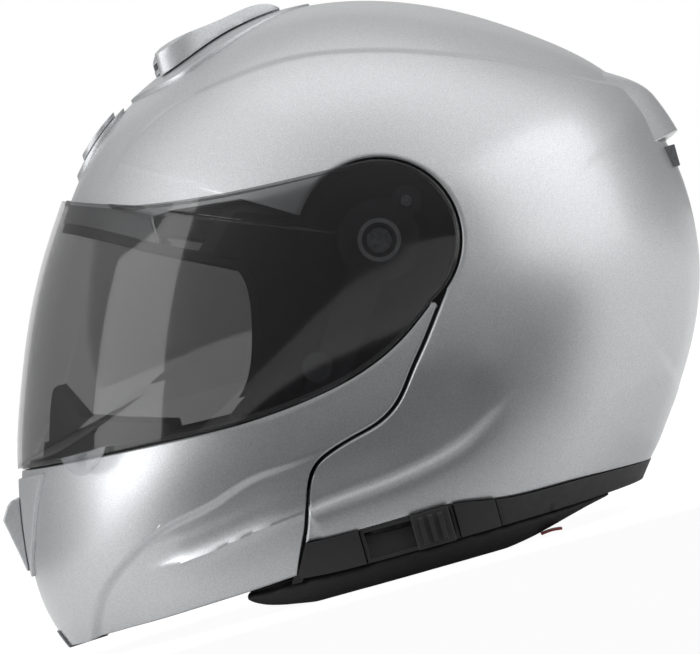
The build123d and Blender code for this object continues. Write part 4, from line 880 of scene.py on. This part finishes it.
class HELMET_OT_trim(HelmetPiece, bpy.types.Operator):
    """Rubber bottom trim, clip covers, slider track and the eyeport's rubber edge."""

    bl_idname = "helmet.trim"
    bl_label = "Trim and gaskets"

    def execute(self, context):
        paint_nodes(MATERIALS["black_rubber_extruded"], "bottom_trim", "eyeport_gasket", "chin_bar_gasket",
                    "breath_guard", bevel=0.4 * MM)
        paint_nodes(MATERIALS["black_abs_grained"], "front_clip_left", "front_clip_right", "rear_clip_left",
                    "slider_track_left", bevel=0.6 * MM)
        self.make_split_seal()
        return {"FINISHED"}

    def make_split_seal(self):
        """Rubber lip on the shell's front edge that closes the low end of the split to the chin bar."""
        half, sunk, sealed_points, rows = 2.6 * MM, 5.2 * MM, 70, 16
        line = smooth_curve(side(SPLIT_SHARES))
        end = straight([tuple(line[-1]), side(SEAL_END_SHARES)[0]], 16)
        line = np.vstack([line[-sealed_points:-1], end])
        skin = Skin(SHELL_SKIN_SHARES, SHELL_HALF_WIDTH, -sunk)
        grid = skin_strip(skin, line - (half, 0), line + (half, 0), rows, 0.4 * MM)
        make_sheet("split_seal", grid, 1.6 * MM, "helmet_shell", "black_rubber_extruded", sharp=60)


class HELMET_OT_vents(HelmetPiece, bpy.types.Operator):
    """Crown scoop, brow vent, chin vent and rear vent."""

    bl_idname = "helmet.vents"
    bl_label = "Vents"

    def execute(self, context):
        paint_nodes(MATERIALS["flake_paint_on_abs"], "brow_vent_base", "brow_vent_slider", "top_vent_base",
                    "top_vent_scoop", "chin_vent_frame", "chin_vent_cover", bevel=0.7 * MM)
        paint_nodes(MATERIALS["grey_abs_satin"], "rear_vent_insert", bevel=0.5 * MM)
        self.make_rear_lip()
        return {"FINISHED"}

    def make_rear_lip(self):
        """The lip over the rear vent, which swells out of the shell and ends in a sharp trailing edge."""
        proud, sunk, half = 7.5 * MM, 0.8 * MM, 60 * MM
        start, full, trail, end = (math.radians(a) for a in (156.0, 168.0, 175.4, 176.3))

        def swell(x, z):
            angle = np.arctan2(z - PIVOT_Z, PIVOT_X - x) % TURN
            sideways = 1 - step(SHELL.half_width_at(x, z), 0.45 * half, half)
            rise = step(angle, start, full) * (1 - step(angle, trail, end)) * sideways
            return (proud + sunk) * rise - sunk

        angles = np.concatenate([np.linspace(start, trail, 60), np.linspace(trail, end, 14)[1:]])
        reach = reach_of(SHELL, angles)
        grid = skin_strip(SHELL, on_side(angles, 0.90 * reach), on_side(angles, reach), 50, 0.3 * MM, swell)
        make_sheet("rear_vent_lip", grid, 2.5 * MM, "helmet_shell", "flake_basecoat_lacquered",
                   ["rear_vent_frame"], sharp=50)


class HELMET_OT_foam(HelmetPiece, bpy.types.Operator):
    """Energy-absorbing foam in the shell and the chin bar."""

    bl_idname = "helmet.foam"
    bl_label = "Foam liners"

    def execute(self, context):
        paint_nodes(MATERIALS["expanded_foam_beads"], "eps_liner", "chin_bar_liner")
        return {"FINISHED"}


def soft_copy(node, name, voxel, shrink=0.0):
    """A remeshed copy of a CAD pad, a little smaller than the pad."""
    source = frame["nodes"][node]
    piece = bpy.data.objects.new(name, source.data.copy())
    bpy.context.scene.collection.objects.link(piece)
    remesh = piece.modifiers.new("remesh", "REMESH")
    remesh.mode = "VOXEL"
    remesh.voxel_size = voxel
    bake(piece)
    if shrink:
        normals = [v.normal.copy() for v in piece.data.vertices]
        for vertex, normal in zip(piece.data.vertices, normals):
            vertex.co -= normal * shrink
    return piece


def soften(piece, times, factor=0.5):
    """Evens out a remeshed surface."""
    modifier = piece.modifiers.new("soften", "SMOOTH")
    modifier.iterations = times
    modifier.factor = factor
    bake(piece)


def inflate(piece, pressure, frames, cap):
    """Lets a pad swell as cloth under pressure, and keeps each point within the cap of where it started."""
    started = [v.co.copy() for v in piece.data.vertices]
    cloth = piece.modifiers.new("swell", "CLOTH")
    cloth.settings.use_pressure = True
    cloth.settings.uniform_pressure_force = pressure
    cloth.settings.effector_weights.gravity = 0
    cloth.settings.tension_stiffness = 12
    scene = bpy.context.scene
    for number in range(1, frames + 1):
        scene.frame_set(number)
    bake(piece)
    scene.frame_set(1)
    for vertex, start in zip(piece.data.vertices, started):
        moved = vertex.co - start
        if moved.length > cap:
            vertex.co = start + moved * (cap / moved.length)


class HELMET_OT_padding(HelmetPiece, bpy.types.Operator):
    """Crown liner, cheek pads, neck roll and chin curtain."""

    bl_idname = "helmet.padding"
    bl_label = "Padding"

    def execute(self, context):
        knit = MATERIALS["polyester_knit_brushed"]
        self.make_crown()
        for hand in ("left", "right"):
            node = f"cheek_pad_{hand}"
            pad = soft_copy(node, f"quilted_{node}", 4 * MM, 0.8 * MM)
            inflate(pad, 3.0, 12, 3 * MM)
            self.push_forward(pad)
            soften(pad, 4)
            pad.modifiers.new("fine", "SUBSURF").render_levels = 1
            bake(pad)
            set_shading(pad, 80)
            dress(pad, "helmet_shell", knit, [node])
        roll = soft_copy("neck_roll", "sewn_neck_roll", 2.5 * MM)
        soften(roll, 6)
        for vertex in roll.data.vertices:
            vertex.co.z = max(vertex.co.z, 0)
        set_shading(roll, 80)
        dress(roll, "helmet_shell", MATERIALS["coated_knit_pebbled"], ["neck_roll"])
        curtain = soft_copy("chin_curtain", "chin_wind_curtain", 1.0 * MM)
        soften(curtain, 3)
        set_shading(curtain, 80)
        dress(curtain, "chin", knit, ["chin_curtain"])
        return {"FINISHED"}

    def push_forward(self, pad):
        """Fills the pad's front edge out into the eyeport, further below the cheek."""
        front = min(v.co.x for v in pad.data.vertices)
        for vertex in pad.data.vertices:
            near = max(0.0, 1 - (vertex.co.x - front) / (45 * MM))
            low = min(1.0, max(0.0, (116 * MM - vertex.co.z) / (10 * MM)))
            vertex.co.x -= near * (front + (62 + 12 * low) * MM)

    def make_crown(self):
        """The crown liner's quilted inner face and its foam."""
        wall, gap, foam, lining = 4.0, 0.3, 36.0, 8.0
        skin = Skin(SHELL_SKIN_SHARES, SHELL_HALF_WIDTH, -(wall + gap + foam + gap + lining) * MM)
        low = straight(side(CROWN_LOW_SHARES))
        angles = np.linspace(0, TURN, 220, endpoint=False)
        at = polar(low)[0]
        start, end = at[0], at[-1] + TURN
        turned = np.where(angles > end, angles - TURN, angles)
        below = turned < start
        silhouette = reach_of(skin, angles)
        cut = reach_at(low, np.where(below, turned, start))
        outer = np.where(below, np.minimum(cut, silhouette), silhouette)

        def quilt(x, z):
            across = np.abs(((x * 0.9 + z * 0.44) / (34 * MM)) % 1 - 0.5)
            other = np.abs(((z * 0.9 - x * 0.44) / (38 * MM)) % 1 - 0.5)
            seam = np.exp(-across / 0.05) + np.exp(-other / 0.05)
            return 2.2 * MM * np.minimum(seam, 1)

        middle = on_side(angles, np.zeros(len(angles)))
        grid = skin_strip(skin, middle, on_side(angles, outer), 60, 2 * MM, quilt)
        crown = make_sheet("quilted_crown_liner", grid, 5 * MM, "helmet_shell", "polyester_knit_brushed",
                           ["crown_liner"], closed=True, inward=False, sharp=70)


def webbing(name, chain, low_x, high_x, wall):
    """A flat strap along a front-view chain of (y, z) points, with rounded selvedges."""
    line = smooth_curve(chain, steps=10)
    ahead = np.gradient(line, axis=0)
    ahead /= np.linalg.norm(ahead, axis=1)[:, None]
    up = np.column_stack([-ahead[:, 1], ahead[:, 0]])
    up *= np.where(up[:, 1:] < 0, -1, 1)
    columns = 18
    points = []
    for k in range(2 * columns):
        share = k / (columns - 1) if k < columns else (2 * columns - 1 - k) / (columns - 1)
        top = 1 if k < columns else -1
        edge = min(share, 1 - share) * (high_x - low_x)
        thick = wall / 2 * min(1.0, 0.35 + edge / (1.2 * MM))
        rib = 0.12 * MM * math.cos(share * TURN * 7)
        x = low_x + share * (high_x - low_x)
        offset = up * (top * thick + top * rib)
        points.append(np.column_stack([np.full(len(line), x), line + offset]))
    points = np.array(points)
    faces = grid_faces(2 * columns, len(line), True)
    faces.append(tuple(k * len(line) for k in range(2 * columns)))
    faces.append(tuple(k * len(line) + len(line) - 1 for k in reversed(range(2 * columns))))
    piece = new_piece(name, points.reshape(-1, 3), faces)
    set_shading(piece, 50)
    return piece


class HELMET_OT_strap(HelmetPiece, bpy.types.Operator):
    """Chin straps, their rivets, the ratchet buckle and the red pull tabs."""

    bl_idname = "helmet.strap"
    bl_label = "Chin strap"

    def execute(self, context):
        wall = 2.0 * MM
        for hand, sign in (("left", -1), ("right", 1)):
            node = f"strap_{hand}"
            low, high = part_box(node)
            top = high.z - wall / 2
            outer = max(abs(low.y), abs(high.y))
            chain = [(sign * outer, top), (sign * 80 * MM, top), (sign * 64 * MM, top),
                     (sign * 48 * MM, top - 2.6 * MM), (sign * 22.2 * MM, top - 7.6 * MM)]
            strap = webbing(f"woven_{node}", chain, low.x, high.x, 0.86 * wall)
            dress(strap, "helmet_shell", MATERIALS["polyamide_webbing_woven"], [node])
        low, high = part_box("cheek_pull_tabs")
        for hand, sign in (("left", -1), ("right", 1)):
            middle = 79 * MM
            half = 7 * MM
            wall = 1.0 * MM
            tab = webbing(f"pull_tab_{hand}", [(0, 0), (5 * MM, 0.5 * MM), (10 * MM, 0)], -half, half, wall)
            tab.data.transform(Matrix.Rotation(math.radians(-90), 4, "Z"))
            x_low = min(v.co.x for v in tab.data.vertices)
            tab.data.transform(Matrix.Translation((low.x - x_low + MM, sign * middle, low.z + wall)))
            dress(tab, "helmet_shell", MATERIALS["polyester_ribbon_dyed"], ["cheek_pull_tabs"])
        paint_nodes(MATERIALS["steel_zinc_plated"], "strap_rivets", "buckle_housing", "buckle_lever",
                    bevel=0.4 * MM)
        paint_nodes(MATERIALS["black_abs_grained"], "buckle_tongue", bevel=0.3 * MM)
        return {"FINISHED"}


# Soft boxes: name, place and size in metres, power in watts
LAMPS = (
    ("lamp_top", (0.1, 0.0, 1.6), 1.4, 1.5),
    ("lamp_front", (-1.5, -0.8, 0.6), 1.0, 9),
    ("lamp_rear", (1.4, -1.0, 0.34), 1.9, 13),
    ("lamp_far", (0.0, 1.7, 0.8), 1.4, 1.5),
)
LAMP_TARGET = (0, 0, 0.14)
# The camera looks straight at the helmet's left from far off, rolled as the photograph's frame is
CAMERA_ROLL = math.radians(15.6)
CAMERA_TARGET = (4.3 * MM, 0, 118.5 * MM)
CAMERA_DISTANCE = 3.0
CAMERA_FRAME_WIDTH = 334.6 * MM


def area_lamp(name, place, look_at, size, power):
    """A square soft box."""
    data = bpy.data.lights.new(name, "AREA")
    data.shape = "SQUARE"
    data.size = size
    data.energy = power
    lamp = bpy.data.objects.new(name, data)
    lamp.location = place
    lamp.rotation_euler = (Vector(look_at) - Vector(place)).to_track_quat("-Z", "Y").to_euler()
    bpy.context.scene.collection.objects.link(lamp)
    return lamp


class HELMET_OT_stage(HelmetPiece, bpy.types.Operator):
    """White floor and surroundings, soft boxes and the camera."""

    bl_idname = "helmet.stage"
    bl_label = "Stage, lamps and camera"

    def execute(self, context):
        scene = bpy.context.scene
        scene.view_settings.view_transform = "Standard"
        self.make_world(scene)
        self.make_floor()
        for name, place, size, power in LAMPS:
            area_lamp(name, place, LAMP_TARGET, size, power)
        self.make_camera(scene)
        return {"FINISHED"}

    def make_world(self, scene):
        """White to the camera; to the object, dim beside its left, low down and on the far side."""
        world = bpy.data.worlds.new("studio")
        world.use_nodes = True
        tree = world.node_tree
        tree.nodes.clear()
        rays = add_node(tree, "ShaderNodeLightPath")
        place = add_node(tree, "ShaderNodeTexCoord")
        split = add_node(tree, "ShaderNodeSeparateXYZ", links={"Vector": place.outputs["Generated"]})
        ends = ("From Min", "From Max", "To Min", "To Max")
        ranges = (("Y", -1.0, -0.45, 0.35, 1.0), ("Z", -0.1, 0.6, 0.3, 1.15), ("Y", 0.0, 0.5, 1.0, 0.5))
        sideways, height, beyond = [
            add_node(tree, "ShaderNodeMapRange", dict(zip(ends, levels)),
                     {"Value": split.outputs[axis]}).outputs["Result"]
            for axis, *levels in ranges]
        near = add_node(tree, "ShaderNodeMath", {"operation": "MULTIPLY"}, {0: sideways, 1: height})
        level = add_node(tree, "ShaderNodeMath", {"operation": "MULTIPLY"},
                         {0: near.outputs["Value"], 1: beyond})
        seen = add_node(tree, "ShaderNodeMath", {"operation": "MAXIMUM"},
                        {0: rays.outputs["Is Camera Ray"], 1: level.outputs["Value"]})
        back = add_node(tree, "ShaderNodeBackground", {"Color": (1, 1, 1, 1)},
                        {"Strength": seen.outputs["Value"]})
        add_node(tree, "ShaderNodeOutputWorld", links={"Surface": back.outputs["Background"]})
        scene.world = world

    def make_floor(self):
        """A wide floor, dark to the object just beside the helmet, that keeps the helmet's shadow."""
        half, level = 30.0, -0.2 * MM
        corners = [(-half, -half, level), (half, -half, level), (half, half, level), (-half, half, level)]
        floor = new_piece("floor", corners, [(0, 1, 2, 3)])
        material = bpy.data.materials.new("pale_floor")
        material.use_nodes = True
        tree = material.node_tree
        tree.nodes.clear()
        rays = add_node(tree, "ShaderNodeLightPath")
        spot = add_node(tree, "ShaderNodeNewGeometry")
        off = add_node(tree, "ShaderNodeVectorMath", {"operation": "DISTANCE", 1: (0, -0.7, 0)},
                       {0: spot.outputs["Position"]})
        shade = add_node(tree, "ShaderNodeMapRange",
                         {"From Min": 0.49, "From Max": 0.60, "To Min": 0.02, "To Max": 0.93},
                         {"Value": off.outputs["Value"]})
        matt = add_node(tree, "ShaderNodeBsdfDiffuse", links={"Color": shade.outputs["Result"]})
        glow = add_node(tree, "ShaderNodeEmission", {"Color": (1, 1, 1, 1), "Strength": 1.12})
        seen = add_node(tree, "ShaderNodeMath", {"operation": "MULTIPLY", 1: 0.86},
                        {0: rays.outputs["Is Camera Ray"]})
        mixed = add_node(tree, "ShaderNodeMixShader", links={
            0: seen.outputs["Value"], 1: matt.outputs["BSDF"], 2: glow.outputs["Emission"]})
        add_node(tree, "ShaderNodeOutputMaterial", links={"Surface": mixed.outputs["Shader"]})
        floor.data.materials.append(material)

    def make_camera(self, scene):
        """A long lens on the helmet's left, rolled as the photograph's frame is."""
        data = bpy.data.cameras.new("camera")
        data.sensor_width = 36.0
        data.lens = data.sensor_width * CAMERA_DISTANCE / CAMERA_FRAME_WIDTH
        data.clip_end = 100.0
        camera = bpy.data.objects.new("camera", data)
        right = Vector((math.cos(CAMERA_ROLL), 0, -math.sin(CAMERA_ROLL)))
        up = Vector((math.sin(CAMERA_ROLL), 0, math.cos(CAMERA_ROLL)))
        back = Vector((0, -1, 0))
        turn = Matrix((right, up, back)).transposed()
        place = Vector(CAMERA_TARGET) + back * CAMERA_DISTANCE
        camera.matrix_world = Matrix.Translation(place) @ turn.to_4x4()
        scene.collection.objects.link(camera)
        scene.camera = camera


class HELMET_PT_panel(bpy.types.Panel):
    """Lists what dresses the helmet."""

    bl_idname = "HELMET_PT_panel"
    bl_label = "Helmet"
    bl_space_type = "VIEW_3D"
    bl_region_type = "UI"
    bl_category = "Helmet"

    def draw(self, context):
        for group in (context.scene.helmet_sizes, context.scene.helmet_colours):
            for key in group.__annotations__:
                self.layout.prop(group, key)
        for operator in OPERATORS:
            self.layout.operator(operator.bl_idname)


OPERATORS = (
    HELMET_OT_stage, HELMET_OT_shell, HELMET_OT_chin_bar, HELMET_OT_shield, HELMET_OT_pods, HELMET_OT_latches,
    HELMET_OT_sun_visor, HELMET_OT_trim, HELMET_OT_vents, HELMET_OT_foam, HELMET_OT_padding, HELMET_OT_strap,
)
CLASSES = (HelmetSizes, HelmetColours, *OPERATORS, HELMET_PT_panel)


def register():
    for kind in CLASSES:
        bpy.utils.register_class(kind)
    bpy.types.Scene.helmet_sizes = bpy.props.PointerProperty(type=HelmetSizes)
    bpy.types.Scene.helmet_colours = bpy.props.PointerProperty(type=HelmetColours)


def unregister():
    del bpy.types.Scene.helmet_colours
    del bpy.types.Scene.helmet_sizes
    for kind in reversed(CLASSES):
        bpy.utils.unregister_class(kind)


def main():
    """Dresses the helmet."""
    register()
    scene = bpy.context.scene
    make_materials(scene.helmet_sizes, scene.helmet_colours)
    for operator in OPERATORS:
        group, name = operator.bl_idname.split(".")
        getattr(getattr(bpy.ops, group), name)()


if __name__ == "__main__":
    main()
